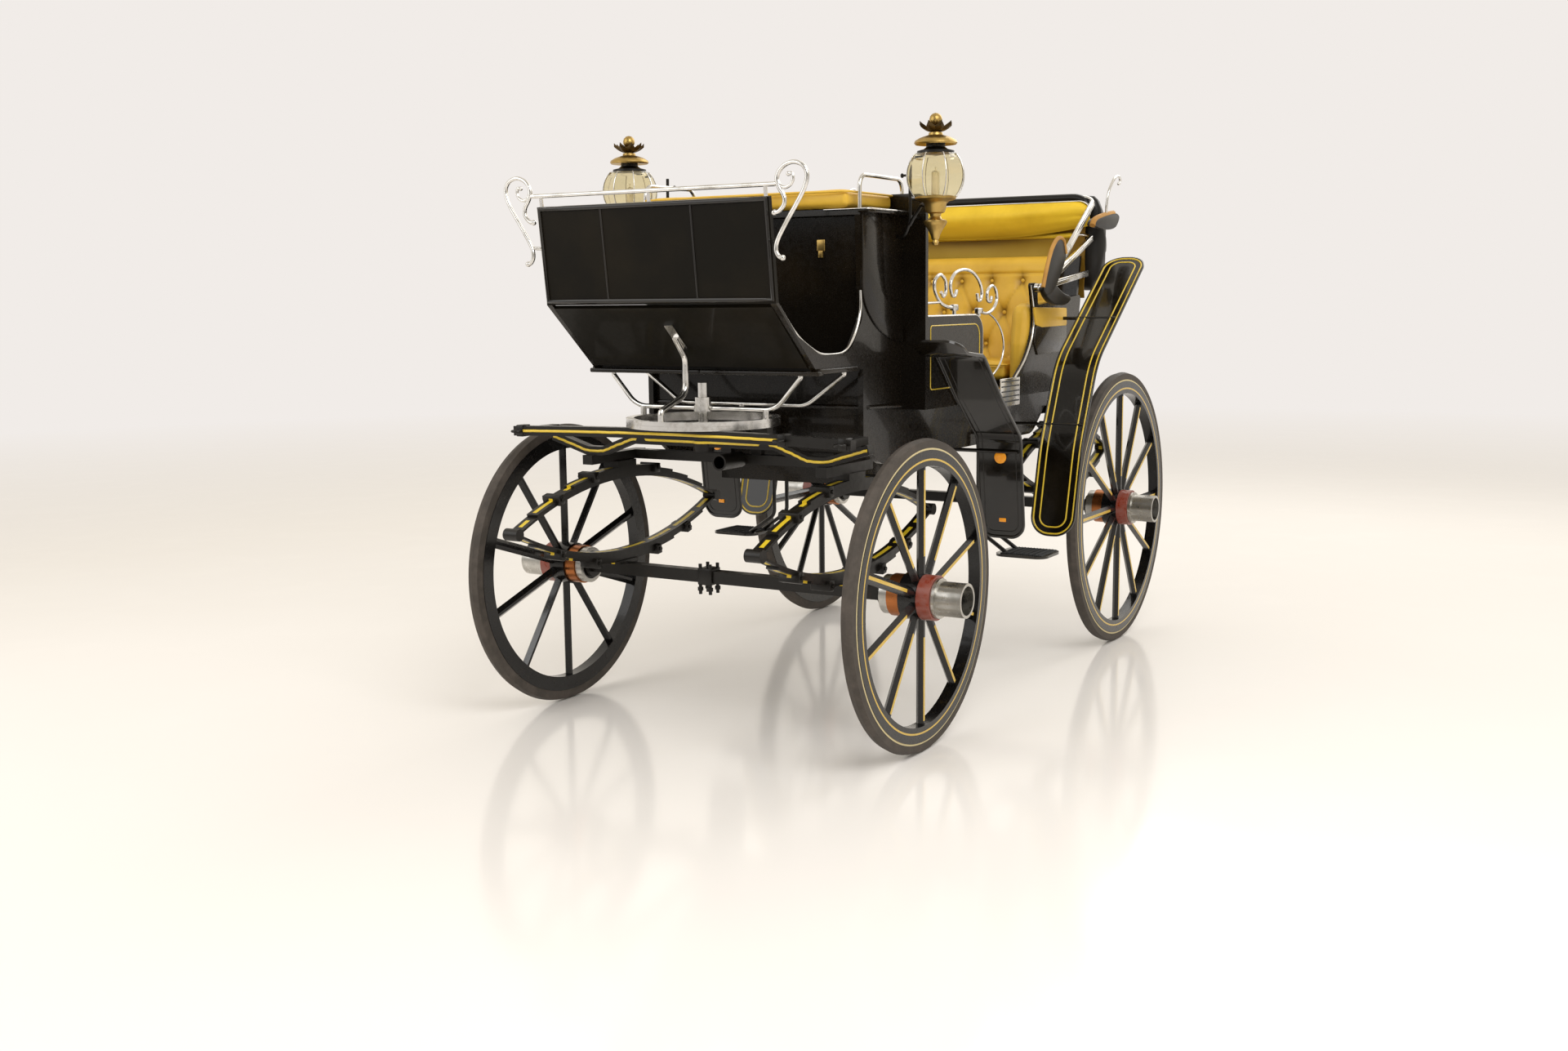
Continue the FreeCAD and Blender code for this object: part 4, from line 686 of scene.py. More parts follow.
for name, cap in (("driver_cushion", 9 * MM), ("bench_cushion", 12 * MM), ("rear_cushion", 14 * MM)):
    start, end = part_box(name)
    pad = hand_over(swollen(start, end, cap), name + "_leather", SEAT)
    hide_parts(name)
    piping(start, end, end.z - 9 * MM, name + "_piping")
    print(name, "faces", len(pad.data.polygons))

# %% [markdown]
# ## Buttoned seat back
# The back is deep buttoned: cords pull buttons in through the stuffing, and the leather gathers into
# pleats that run from button to button in a diamond. It starts as a cube cut into small faces, whose
# front is then pushed out everywhere except near a button or a pleat.

# %% Seat back
BUTTON_SPACING, ROW_SPACING, TOP_ROLL = 0.14, 0.132, 0.07
BUTTON_PULL, PLEAT_PULL, SEAM_PULL, BACK_CROWN = 24 * MM, 7.2 * MM, 6 * MM, 20 * MM
BUTTON_REACH, PLEAT_REACH, BACK_LEAN = 28 * MM, 6 * MM, 0.225
back_low, back_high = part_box("rear_seat_back")


def back_face(z):
    """Where the front of the seat back is at a height, before its stuffing."""
    return back_high.x - BACK_LEAN * max(z - back_low.z - 0.05, 0) - BACK_CROWN


rows = [back_high.z - TOP_ROLL - 0.03 - i * ROW_SPACING for i in range(4)]
buttons = []
for i, z in enumerate(rows):
    shift = BUTTON_SPACING / 2 * (i % 2)
    for k in range(-3, 4):
        y = k * BUTTON_SPACING + shift
        if abs(y) < back_high.y - 0.04 and z > back_low.z + 0.02:
            buttons.append((y, z))


def stuffing(y, z):
    """How far the leather stands out at a point of the back, in metres."""
    near = min(math.hypot(y - by, z - bz) for by, bz in buttons)
    pull = BUTTON_PULL * math.exp(-(near / BUTTON_REACH) ** 1.4)
    along = (rows[0] - z) / ROW_SPACING
    pleat = 0.0
    if along > 0:
        row = int(along)
        share = along - row
        for k in range(-4, 5):
            head = k * BUTTON_SPACING + BUTTON_SPACING / 2 * (row % 2)
            for lean in (-1, 1):
                line = head + lean * share * BUTTON_SPACING / 2
                pleat = max(pleat, math.exp(-(abs(y - line) / PLEAT_REACH) ** 1.5))
    else:
        column = y / BUTTON_SPACING
        pleat = math.exp(-(abs(column - round(column)) * BUTTON_SPACING / PLEAT_REACH) ** 1.5)
        pleat *= max(0.0, 1 - abs(along) / 0.5)
    seam = math.exp(-((z - (back_high.z - TOP_ROLL)) / PLEAT_REACH) ** 2)
    return BACK_CROWN - pull - PLEAT_PULL * pleat - SEAM_PULL * seam


def store_painted_shade(piece, depth_at):
    """Stores on every vertex how much painted shade darkens its colour, from 0 to 1."""
    crease = piece.data.attributes.new("crease", "FLOAT", "POINT")
    for vertex, value in zip(piece.data.vertices, crease.data):
        value.value = min(max(depth_at(vertex.co), 0.0), 1.0)


def rounded_edge(share, reach):
    """Falls from 1 to 0 over the last stretch before an edge, in a quarter circle."""
    inside = min(max(share / reach, 0.0), 1.0)
    return math.sqrt(1 - (1 - inside) ** 2)


seat_back = diced_cube(110)
for vertex in seat_back.data.vertices:
    y = vertex.co.y * 2 * (back_high.y - 1 * MM)
    z = back_low.z + (vertex.co.z + 0.5) * (back_high.z - back_low.z)
    depth = vertex.co.x + 0.5
    front = back_face(z) + stuffing(y, z)
    rear = back_face(z) - 0.06
    edge = rounded_edge(back_high.y - abs(y), 0.03) * rounded_edge(back_high.z + 2 * MM - z, 0.035)
    x = rear + depth * (front - rear) * (0.35 + 0.65 * edge)
    vertex.co = (x, y, z)
# Painted shade: the leather darkens where the buttons and pleats pull it in.
store_painted_shade(seat_back, lambda co: 0.9 * (1 - stuffing(co.y, co.z) / BACK_CROWN) ** 1.8)
hand_over(seat_back, "buttoned_seat_back", SEAT)
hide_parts("rear_seat_back")

studs = [ball((back_face(z) + BACK_CROWN - BUTTON_PULL + 2 * MM, y, z), 8.5 * MM, (0.45, 1, 1), 6)
         for y, z in buttons]
hand_over(joined(studs), "seat_back_buttons", SEAT)
print("buttons", len(buttons))


# %% [markdown]
# ## Curves and surfaces to follow
# Scrolls are drawn as a few points and a smooth curve through them. Painted lines, beads and rims lie
# on CAD parts, so their places are found by a ray: it starts in the air, flies towards the part, and
# stops where it strikes the surface.

# %% Curve and ray helpers
def through(points, steps=8, closed=False):
    """A smooth curve through points, by Catmull and Rom's rule."""
    points = [Vector(point) for point in points]
    count = len(points)
    pick = (lambda i: points[i % count]) if closed else (lambda i: points[min(max(i, 0), count - 1)])
    curve = []
    for i in range(count if closed else count - 1):
        p0, p1, p2, p3 = (pick(i + k) for k in (-1, 0, 1, 2))
        for step in range(steps):
            t = step / steps
            curve.append(0.5 * (2 * p1 + (p2 - p0) * t + (2 * p0 - 5 * p1 + 4 * p2 - p3) * t * t
                                + (3 * p1 - p0 - 3 * p2 + p3) * t ** 3))
    return curve if closed else curve + [points[-1]]


def strike(name, start, direction):
    """Where a ray first meets a CAD part, or None."""
    hit, place, normal, face = frame["nodes"][name].ray_cast(Vector(start), Vector(direction))
    return place if hit else None


def struck(name, starts, direction):
    return [place for place in (strike(name, start, direction) for start in starts) if place]


def spaced(first, last, count):
    return [first + (last - first) * i / (count - 1) for i in range(count)]


def smoothed(points, rounds=3):
    """Evens out a run of struck points; its ends stay."""
    for step in range(rounds):
        inside = [(a + 2 * b + c) / 4 for a, b, c in zip(points, points[1:], points[2:])]
        points = points[:1] + inside + points[-1:]
    return points


# %% [markdown]
# ## Beads and painted lines on the body
# A coach's panels are edged with half-round silver bead, and a line painter sets a fine yellow line
# inside it. Both are bars that lie half in the panel.

# %% Side panel bead and line
panel_low, panel_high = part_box("jump_seat_sides")
face_y = panel_high.y
BEAD, LINE = 4.5 * MM, 2.2 * MM
SILL_Z = 1.085
corner = 68 * MM
bead_path = [(panel_high.x, face_y - 4 * MM, panel_high.z),
             (panel_low.x, face_y - 4 * MM, panel_high.z, corner),
             (panel_low.x, face_y - 4 * MM, SILL_Z + 5 * MM)]
pair(bar(bent(bead_path, 10), BEAD), "side_panel_bead", BRIGHT)

LINE_INSET = 32 * MM
left, right_edge = panel_low.x + LINE_INSET, panel_high.x - 20 * MM
foot, top = SILL_Z + 36 * MM, panel_high.z - LINE_INSET
line_path = [(left, face_y, foot, 12 * MM), (left, face_y, top, corner - 24 * MM),
             (right_edge, face_y, top, 12 * MM), (right_edge, face_y, foot, 12 * MM)]
pair(bar(bent(line_path, 8, closed=True), LINE, closed=True), "side_panel_line", YELLOW_LINE)

# %% Bead on the quarter panels' leading edge
heights = spaced(SILL_Z + 5 * MM, high("quarter_panels").z - 8 * MM, 36)
edge = struck("quarter_panels", [(0.2, face_y - 6 * MM, z) for z in heights], (-1, 0, 0))
pair(bar(edge, BEAD), "quarter_bead", BRIGHT)

# %% Bead round the boot's cut-out
boot_y = high("boot_sides").y - 5 * MM
box_front = 0.80
pillar = struck("boot_sides", [(1.02, boot_y, z) for z in spaced(1.46, 1.38, 5)], (-1, 0, 0))
hollow = struck("boot_sides", [(x, boot_y, 1.9) for x in spaced(pillar[-1].x + 25 * MM, 1.30, 20)],
                (0, 0, -1))
pair(bar(through(smoothed(pillar + hollow), 3), BEAD), "boot_bead", BRIGHT)
print("bead points", len(edge), len(pillar) + len(hollow))

# %% [markdown]
# ## Lines that follow a bent plate
# Mudguards and fenders are leather over bent iron. Their outline can be unrolled: distance along the
# bend and distance across. The rim and the painted lines are drawn as rounded rectangles on that flat
# plan and then rolled back on to the plate.


# %% Plan of a bent plate
NEAR_EDGE, MID_PLATE = 5 * MM, 75 * MM


def bend_of(name, starts_down, starts_back, end=80 * MM):
    """The plate's upper surface from end to end: near its edge, but down its middle at its round ends."""
    outer = high(name).y
    top_part = struck(name, [(x, outer - (MID_PLATE if x > starts_down[0] - end else NEAR_EDGE), 2.2)
                             for x in starts_down], (0, 0, -1))
    lowest, highest = min(starts_back), max(starts_back)
    fall = []
    for z in starts_back:
        at_end = z < lowest + end or (z > highest - end and not starts_down)
        fall += struck(name, [(2.0, outer - (MID_PLATE if at_end else NEAR_EDGE), z)], (-1, 0, 0))
    return top_part + fall


def rolled_on(run, inner, outer, inset, radius, lift, steps=10):
    """A rounded rectangle inset from the plate's edges, laid on the bend run."""
    spans = [0.0]
    for first, second in zip(run, run[1:]):
        spans.append(spans[-1] + math.hypot(second.x - first.x, second.z - first.z))
    start, end = inset, spans[-1] - inset
    low_y, high_y = inner + inset, outer - inset
    plan = bent([(start, low_y, 0, radius), (start, high_y, 0, radius), (end, high_y, 0, radius),
                 (end, low_y, 0, radius)], steps, closed=True)
    loop = []
    for first, second in zip(plan, plan[1:] + plan[:1]):
        pieces = max(1, int((second - first).length / (12 * MM)))
        loop += [first.lerp(second, k / pieces) for k in range(pieces)]
    placed = []
    for spot in loop:
        i = min(max(sum(1 for s in spans if s <= spot.x) - 1, 0), len(run) - 2)
        share = (spot.x - spans[i]) / max(spans[i + 1] - spans[i], 1e-6)
        here, ahead_of = run[i], run[i + 1]
        normal = Vector((ahead_of.z - here.z, 0, here.x - ahead_of.x)).normalized()
        if normal.x + normal.z < 0:
            normal.negate()
        point = here.lerp(ahead_of, share) + normal * lift
        placed.append(Vector((point.x, spot.y, point.z)))
    return placed


# %% Fender lines and rims
fender_low, fender_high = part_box("fenders")
FENDER_INNER, GUARD_INNER = 0.58, 0.52
FENDER_CORNER, GUARD_CORNER, SMALLEST_BEND = 76 * MM, 55 * MM, 20 * MM
fender_run = bend_of("fenders", [], spaced(fender_low.z + 1.5 * MM, fender_high.z - 2.5 * MM, 90))
for name, inset, width, finish in (("fender_rim", 3 * MM, 4.5 * MM, PATENT),
                                   ("fender_outer_line", 9 * MM, 4 * MM, YELLOW_LINE),
                                   ("fender_inner_line", 35 * MM, 3.4 * MM, YELLOW_LINE)):
    radius = max(FENDER_CORNER - inset, SMALLEST_BEND)
    loop = rolled_on(fender_run, FENDER_INNER, fender_high.y, inset, radius, -0.2 * width)
    pair(bar(loop, width, closed=True), name, finish)

# %% Mudguard rims and reflectors
guard_low, guard_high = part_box("mudguards")
guard_run = bend_of("mudguards", spaced(guard_high.x - 9 * MM, 0.41, 16),
                    spaced(1.225, guard_low.z + 4 * MM, 60))
for name, inset, width in (("mudguard_rim", 4 * MM, 5 * MM), ("mudguard_seam", 24 * MM, 1.8 * MM)):
    radius = max(GUARD_CORNER - inset, SMALLEST_BEND)
    loop = rolled_on(guard_run, GUARD_INNER, guard_high.y, inset, radius, 0)
    pair(bar(loop, width, closed=True), name, PATENT)

REFLECTOR_Y, REFLECTOR_Z, REFLECTOR_R = 0.612, 0.858, 23 * MM
flap = strike("mudguards", (1, REFLECTOR_Y, REFLECTOR_Z), (-1, 0, 0))
reflector = primitive("cylinder", vertices=40, radius=REFLECTOR_R, depth=8 * MM, location=flap,
                      rotation=(0, math.pi / 2, 0))
apply_modifier(reflector, "BEVEL", width=2 * MM, segments=3)
tab = strike("mudguards", (1, REFLECTOR_Y, 0.625), (-1, 0, 0))
tab_block = block(tab + Vector((-4 * MM, -13 * MM, -7 * MM)), tab + Vector((4 * MM, 13 * MM, 7 * MM)))
pair(joined([reflector, tab_block]), "amber_reflectors", AMBER)

# %% [markdown]
# ## Dashboard
# The dash is leather stitched over an iron frame: the frame shows as a rolled border and two upright
# ribs. Above it a bright rail runs between two wrought scrolls, which the driver steadies the reins
# on. A scroll is one rod, its end curled in and finished with a small ball.

# %% Dash frame
dash_low, dash_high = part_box("dash")
for face, direction in (("front", -1), ("back", 1)):
    start_x = dash_high.x + 0.3 if face == "front" else dash_low.x - 0.3

    def on_dash(y, z):
        return strike("dash", (start_x, y, z), (direction, 0, 0))

    inset = 9 * MM
    low_z, high_z, wide = dash_low.z + inset + 3 * MM, dash_high.z - inset, dash_high.y - inset
    ring = [on_dash(y, low_z) for y in spaced(-wide, wide, 9)]
    ring += [on_dash(y, high_z) for y in spaced(wide, -wide, 9)]
    parts = [bar(ring, 8.5 * MM, closed=True)]
    for share in (0.29, 0.68):
        y = dash_high.y * (2 * share - 1)
        parts.append(bar([on_dash(y, z) for z in spaced(low_z, high_z, 5)], 4 * MM))
    hand_over(joined(parts), "dash_frame_" + face, PATENT)

# %% Dash scrolls
SCROLL_X = middle("dash_scrolls").x + 6 * MM
STEM = ((0.474, 1.552), (0.462, 1.556), (0.452, 1.575), (0.458, 1.605), (0.488, 1.655), (0.522, 1.705),
        (0.548, 1.748), (0.558, 1.785), (0.544, 1.812), (0.512, 1.823), (0.478, 1.812), (0.458, 1.786),
        (0.463, 1.755), (0.480, 1.728), (0.480, 1.704), (0.462, 1.685), (0.447, 1.682))
CURL = ((0.459, 1.775), (0.468, 1.759), (0.485, 1.752), (0.503, 1.760), (0.511, 1.776), (0.507, 1.791),
        (0.496, 1.790))
parts = [bar(through([(SCROLL_X, y, z) for y, z in STEM], 6), 6.5 * MM, sides=4),
         bar(through([(SCROLL_X, y, z) for y, z in CURL], 6), 5 * MM, sides=4),
         bar([(SCROLL_X, 0.455, 1.602), (dash_high.x - 25 * MM, 0.425, 1.600)], 5.5 * MM, sides=4),
         bar([(SCROLL_X, 0.462, 1.764), (low("dash_rail").x + 8 * MM, 0.42, 1.764)], 5.5 * MM, sides=4)]
parts += [ball((SCROLL_X, y, z), radius, rings=8) for y, z, radius in
          ((0.474, 1.552, 0.009), (0.447, 1.682, 0.009), (0.496, 1.790, 0.007))]
for piece in pair(joined(parts), "dash_scroll", BRIGHT):
    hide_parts("dash_scrolls")

# %% [markdown]
# ## Scroll rail of the jump seat
# Beside the jump seat a passenger's hand finds a low rail of wrought scrolls: an arch with curled
# ends between two volutes, held by silver clamps on the panel's top.

# %% Scroll rail
RAIL_Y = middle("side_rails").y + high("side_rails").y - 7 * MM
ROD = 6 * MM
VOLUTE_FRONT = ((0.236, 1.398), (0.300, 1.402), (0.353, 1.418), (0.394, 1.452), (0.396, 1.490),
                (0.353, 1.511), (0.312, 1.492), (0.306, 1.455), (0.326, 1.437), (0.346, 1.452))
ARCH = ((0.216, 1.458), (0.232, 1.438), (0.258, 1.445), (0.268, 1.480), (0.240, 1.512), (0.190, 1.527),
        (0.125, 1.529), (0.060, 1.514), (0.014, 1.484), (-0.004, 1.450), (0.006, 1.424), (0.030, 1.424),
        (0.038, 1.446))
VOLUTE_REAR = ((0.022, 1.382), (-0.048, 1.374), (-0.108, 1.389), (-0.142, 1.422), (-0.132, 1.460),
               (-0.096, 1.474), (-0.058, 1.456), (-0.056, 1.424), (-0.082, 1.416), (-0.094, 1.434))
HAND_LOOP = ((-0.060, 1.376), (-0.130, 1.350), (-0.190, 1.305), (-0.212, 1.250), (-0.190, 1.195),
             (-0.120, 1.150), (-0.040, 1.135), (0.006, 1.134))
parts = [bar(through([(x, RAIL_Y, z) for x, z in run], 6), ROD * size, sides=4)
         for run, size in ((VOLUTE_FRONT, 1), (ARCH, 1), (VOLUTE_REAR, 1), (HAND_LOOP, 0.6))]
parts.append(bar([(low("bulkhead").x, RAIL_Y, 1.414), (0.352, RAIL_Y, 1.417)], ROD * 0.7, sides=4))
for x, z in ((0.236, 1.398), (0.022, 1.384)):
    clamp = block((x - 20 * MM, RAIL_Y - 9 * MM, z - 11 * MM), (x + 20 * MM, RAIL_Y + 9 * MM, z + 11 * MM),
                  4 * MM, 3)
    parts += [clamp, bar([(x, RAIL_Y, panel_high.z - 6 * MM), (x, RAIL_Y, z)], 7 * MM, sides=4)]
for piece in pair(joined(parts), "scroll_rail", BRIGHT):
    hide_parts("side_rails")

# %% [markdown]
# ## Lamps
# A carriage lamp is spun brass: a stepped foot, a globe of bent glass facets between eight thin
# silvered ribs, a black chimney, a wide canopy, a crown of leaves and a ball on top. Spun parts come
# from an outline turned round the upright, the leaves are one leaf copied round.

# %% Lamp
lamp_centre = middle("lamp_glasses")
lamp_place = Vector((lamp_centre.x, high("lamp_glasses").y - 98 * MM, lamp_centre.z - 4 * MM))
GLOBE = 0.098
FOOT = ((0.001, -0.222), (0.008, -0.221), (0.011, -0.213), (0.008, -0.205), (0.013, -0.200),
        (0.015, -0.190), (0.024, -0.172), (0.034, -0.158), (0.038, -0.150), (0.037, -0.143),
        (0.022, -0.138), (0.017, -0.130), (0.019, -0.121), (0.030, -0.117), (0.034, -0.104),
        (0.036, -0.090), (0.044, -0.082), (0.060, -0.078), (0.067, -0.073), (0.067, -0.067),
        (0.060, -0.064), (0.001, -0.062))
CHIMNEY = ((0.001, 0.066), (0.060, 0.068), (0.060, 0.078), (0.040, 0.083), (0.031, 0.090), (0.030, 0.112),
           (0.001, 0.114))
CANOPY = ((0.001, 0.104), (0.028, 0.105), (0.052, 0.100), (0.066, 0.098), (0.070, 0.103), (0.067, 0.110),
          (0.052, 0.119), (0.035, 0.125), (0.024, 0.128), (0.022, 0.136), (0.001, 0.138))
FINIAL = ((0.001, 0.134), (0.010, 0.136), (0.009, 0.150), (0.008, 0.156), (0.014, 0.160), (0.020, 0.168),
          (0.021, 0.178), (0.018, 0.188), (0.011, 0.195), (0.001, 0.198))


def spun(profile, name, finish):
    return hand_over(turned_round(profile, lamp_place, 40), name + "_left", finish, smooth=40)


def leaf_crown():
    """Eight leaves that rise outwards from the lamp's top."""

    def leaf_place(u, v):
        wide = 0.034 * math.sin(math.pi * (0.12 + 0.88 * v)) ** 0.8 * (1 - 0.75 * v ** 6)
        rise = 0.139 + 0.020 * v ** 2 + 0.012 * (2 * u - 1) ** 2 * v
        return lamp_place + Vector((0.012 + 0.042 * v, (u - 0.5) * wide, rise))

    leaf = shaped_grid(6, 10, leaf_place)
    apply_modifier(leaf, "SOLIDIFY", thickness=2 * MM, offset=0)
    leaves = [leaf]
    for k in range(1, 8):
        copy = copied(leaf)
        copy.data.transform(Matrix.Translation(lamp_place) @ Matrix.Rotation(k * math.pi / 4, 4, "Z")
                            @ Matrix.Translation(-lamp_place))
        leaves.append(copy)
    return joined(leaves)


def faceted_globe():
    """A glass ball of eight flat-sided gores with a wall, cut level at top and bottom."""
    count, rows = 8, 12
    low_angle, high_angle = math.asin(-0.068 / GLOBE), math.asin(0.070 / GLOBE)
    profile = [(GLOBE * math.cos(a), GLOBE * math.sin(a)) for a in spaced(low_angle, high_angle, rows + 1)]
    inner = [(radius - 4 * MM, height) for radius, height in profile]
    return turned_round(profile + inner[::-1] + profile[:1], lamp_place, count)


lamp_pieces = [(spun(profile, name, finish), "lamps") for profile, name, finish in (
    (FOOT, "lamp_foot", BRASS), (CHIMNEY, "lamp_chimney", IRON), (CANOPY, "lamp_canopy", BRASS),
    (FINIAL, "lamp_finial", BRASS))]
lamp_pieces += [(hand_over(leaf_crown(), "lamp_leaves_left", BRONZE), "lamps"),
                (hand_over(faceted_globe(), "lamp_globe_left", GLASS, smooth=35), "lamp_glasses")]
ribs = []
for k in range(8):
    turn = k * math.pi / 4
    arc = [Vector((math.cos(a) * math.cos(turn), math.cos(a) * math.sin(turn), math.sin(a)))
           for a in spaced(-0.74, 0.78, 18)]
    ribs.append(bar([lamp_place + (GLOBE + 0.5 * MM) * point for point in arc], 1.8 * MM))
lamp_pieces.append((hand_over(joined(ribs), "lamp_ribs_left", BRIGHT), "lamps"))
CANDLE = ((0.001, -0.066), (0.013, -0.066), (0.013, 0.010), (0.009, 0.014), (0.002, 0.016), (0.002, 0.026),
          (0.001, 0.027))
wax, wax_tree, wax_shader, wax_place = finish_named("candle_wax", Base_Color=linear("#efe6cf"),
                                                    Roughness=0.5)
bumped(wax_tree, wax_shader, grain(wax_tree, wax_place, 90, 3), 0.5 * MM)
lamp_pieces.append((spun(CANDLE, "lamp_candle", (wax, "lamp_glass")), "lamps"))

BRACKET_Y = 0.488
UPRIGHT = ((0.553, BRACKET_Y, 1.868), (0.555, BRACKET_Y, 1.780), (0.558, BRACKET_Y, 1.690),
           (0.553, 0.470, 1.645), (0.545, 0.445, 1.634), (0.535, 0.422, 1.650), (0.530, 0.414, 1.680))
SWAN_NECK = ((0.558, BRACKET_Y, 1.672), (0.566, 0.520, 1.715), (0.590, 0.555, 1.735),
             (lamp_place.x, lamp_place.y, lamp_place.z - 0.135))
bracket = [bar(through(UPRIGHT, 8), 5.5 * MM, sides=4), bar(through(SWAN_NECK, 8), 6 * MM, sides=4),
           bar([(0.553, BRACKET_Y, 1.835), (0.553, BRACKET_Y - 0.03, 1.835)], 4 * MM, sides=3),
           ball((0.553, BRACKET_Y - 0.03, 1.835), 8 * MM, (1, 0.7, 1), 8),
           bar([(0.480, BRACKET_Y, 1.700), (0.558, BRACKET_Y, 1.700)], 6 * MM, sides=4),
           bar([(0.480, BRACKET_Y, 1.760), (0.556, BRACKET_Y, 1.760)], 6 * MM, sides=4)]
lamp_pieces.append((hand_over(joined(bracket), "lamp_bracket_left", IRON), "lamps"))
for piece, node in lamp_pieces:
    for side_piece in (piece, across(piece, piece.name.replace("_left", "_right"))):
        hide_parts(node)

# %% [markdown]
# ## Arm pads
# The seat's arms are stuffed and buttoned like its back. Each is a subdivided cube laid between the
# seat's front edge and its back, then pulled in at six buttons.

# %% Arm pads
pad_low, pad_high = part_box("arm_pads")
INNER_Y, PAD_FRONT, PAD_TOP = 0.41, pad_high.x, 1.402
ARM_BUTTON_PULL, ARM_BUTTON_REACH, LEAN_FOOT, LEAN_RISE = 16 * MM, 26 * MM, 1.25, 0.15
arm_buttons = [(x, z) for z, shift in ((1.325, 0.0), (1.225, 0.06))
               for x in (-0.56 - shift, -0.69 - shift, -0.82 - shift)]


def pad_rear(z):
    return strike("arm_pads", (-2, 0.45, z), (1, 0, 0)) or Vector((-0.93, 0, z))


arm = diced_cube(60)
for vertex in arm.data.vertices:
    a, b, c = (vertex.co[i] + 0.5 for i in range(3))
    top_z = PAD_TOP + 0.030 * a
    z = pad_low.z + c * (top_z - pad_low.z)
    rear = pad_rear(min(z, pad_high.z - 12 * MM)).x + 2 * MM
    lean = max(0.0, (z - LEAN_FOOT) / LEAN_RISE)
    front = PAD_FRONT - 0.022 * lean
    x = front + a * (rear - front)
    edge = rounded_edge(front - x, 0.045) * rounded_edge(top_z - z + 1 * MM, 0.04)
    near = min(math.hypot(x - bx, z - bz) for bx, bz in arm_buttons)
    pull = ARM_BUTTON_PULL * math.exp(-(near / ARM_BUTTON_REACH) ** 1.4)
    inner, outer = INNER_Y + 1 * MM + pull, pad_high.y - 1 * MM
    half = (outer - inner) / 2 * (0.25 + 0.75 * edge)
    centre_y = (outer + inner) / 2
    drop = (1 - rounded_edge(front - x, 0.05)) * 0.03 * lean
    vertex.co = (x, centre_y + (2 * b - 1) * half, z - drop)
mend_normals(arm)
studs = [ball((x, INNER_Y + 14 * MM, z), 8 * MM, (1, 0.45, 1), 6) for x, z in arm_buttons]
for piece in pair(joined([arm] + studs), "arm_pad", SEAT):
    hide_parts("arm_pads")

# %% [markdown]
# ## The folded hood
# When the hood lies back, its bows close like a fan on the silver pivots and the leather between them
# gathers in rolls behind the seat. The front bow's edge is a padded black roll with a silver bead, and
# its yellow lining hangs below in one soft swag. Behind, the lining closes the gap above the seat.


# %% Swept roll maker
def evenly(points, count):
    """Points at equal steps along a closed run."""
    points = points + points[:1]
    spans = [0.0]
    for first, second in zip(points, points[1:]):
        spans.append(spans[-1] + (second - first).length)
    placed, i = [], 0
    for k in range(count):
        target = spans[-1] * k / count
        while spans[i + 1] < target:
            i += 1
        span = max(spans[i + 1] - spans[i], 1e-9)
        placed.append(points[i].lerp(points[i + 1], (target - spans[i]) / span))
    return placed


def swept_roll(outline, half_width, around=96, along=72, end=0.05, ripple=None, taper=0.0):
    """A closed roll across the carriage from an (x, z) outline; taper draws its ends forward."""
    ring = evenly(through([(x, 0, z) for x, z in outline], 8, closed=True), around)
    centre = sum(ring, Vector()) / around
    front = max(point.x for point in ring)

    def place(u, v):
        k = round(u * around) % around
        spot = ring[k]
        y = (2 * v - 1) * half_width
        size = rounded_edge(half_width - abs(y), end)
        point = centre + (spot - centre) * (0.02 + 0.98 * size if size > 0 else 0)
        if ripple:
            point = point + (spot - centre).normalized() * ripple(k / around, y) * size
        drawn = taper * (max(0.0, abs(y) - half_width / 2) / (half_width / 2)) ** 2.5
        return Vector((front + (point.x - front) * (1 - drawn), y, point.z))

    return mend_normals(shaped_grid(around, along, place))


BOW_RADIUS = 7 * MM
pivot = middle("hood_pivots")
bow_corner = Vector((low("hood_front_bow").x + BOW_RADIUS, 0, high("hood_front_bow").z - BOW_RADIUS))
bundle_high = high("hood_leather")
BUNDLE_HALF = bundle_high.y - 4 * MM
front_x, crest_z = bundle_high.x, bundle_high.z


def leather_ripple(u, y):
    """Soft creases across the folds, 10 mm at most."""
    deep, fine = noise.noise(Vector((y * 4.5, u * 9, 0.3))), noise.noise(Vector((y * 17, u * 22, 4.1)))
    return 10 * MM * deep + 4 * MM * fine


FOLDS = ((-0.004, -0.355), (-0.004, -0.180), (-0.008, -0.060), (-0.034, -0.022), (-0.085, -0.026),
         (-0.150, -0.055), (-0.205, -0.095), (-0.212, -0.135), (-0.172, -0.150), (-0.218, -0.178),
         (-0.238, -0.222), (-0.222, -0.258), (-0.172, -0.266), (-0.205, -0.295), (-0.200, -0.335),
         (-0.160, -0.372), (-0.090, -0.398), (-0.030, -0.396))
cover = swept_roll([(front_x + x - 1 * MM, crest_z + z) for x, z in FOLDS], BUNDLE_HALF,
                   ripple=leather_ripple, taper=0.55)
hand_over(cover, "folded_hood_leather", HIDE, smooth=60)
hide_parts("hood_leather")

# %% Lining behind the seat
LINING_HALF, LINING_FOOT = 0.500, 1.425


def lining_place(u, v):
    y = (2 * u - 1) * LINING_HALF
    z = LINING_FOOT + (crest_z - 0.05 - LINING_FOOT) * v
    wave = 4 * MM * noise.noise(Vector((y * 5, z * 14, 1.7))) + 3 * MM * math.sin(z * 60 + 2 * y)
    return Vector((front_x + 14 * MM + wave, y, z))


back_lining = shaped_grid(70, 30, lining_place)
# Painted shadow: the lining darkens towards its top, under the hanging swag, and towards its sides.
store_painted_shade(back_lining,
               lambda co: 0.5 + 0.5 * (co.z - 1.55) / 0.15 + 4 * max(0, abs(co.y) - 0.42) / 0.1)
apply_modifier(back_lining, "SOLIDIFY", thickness=7 * MM, offset=0)
hand_over(back_lining, "hood_back_lining", LINING)

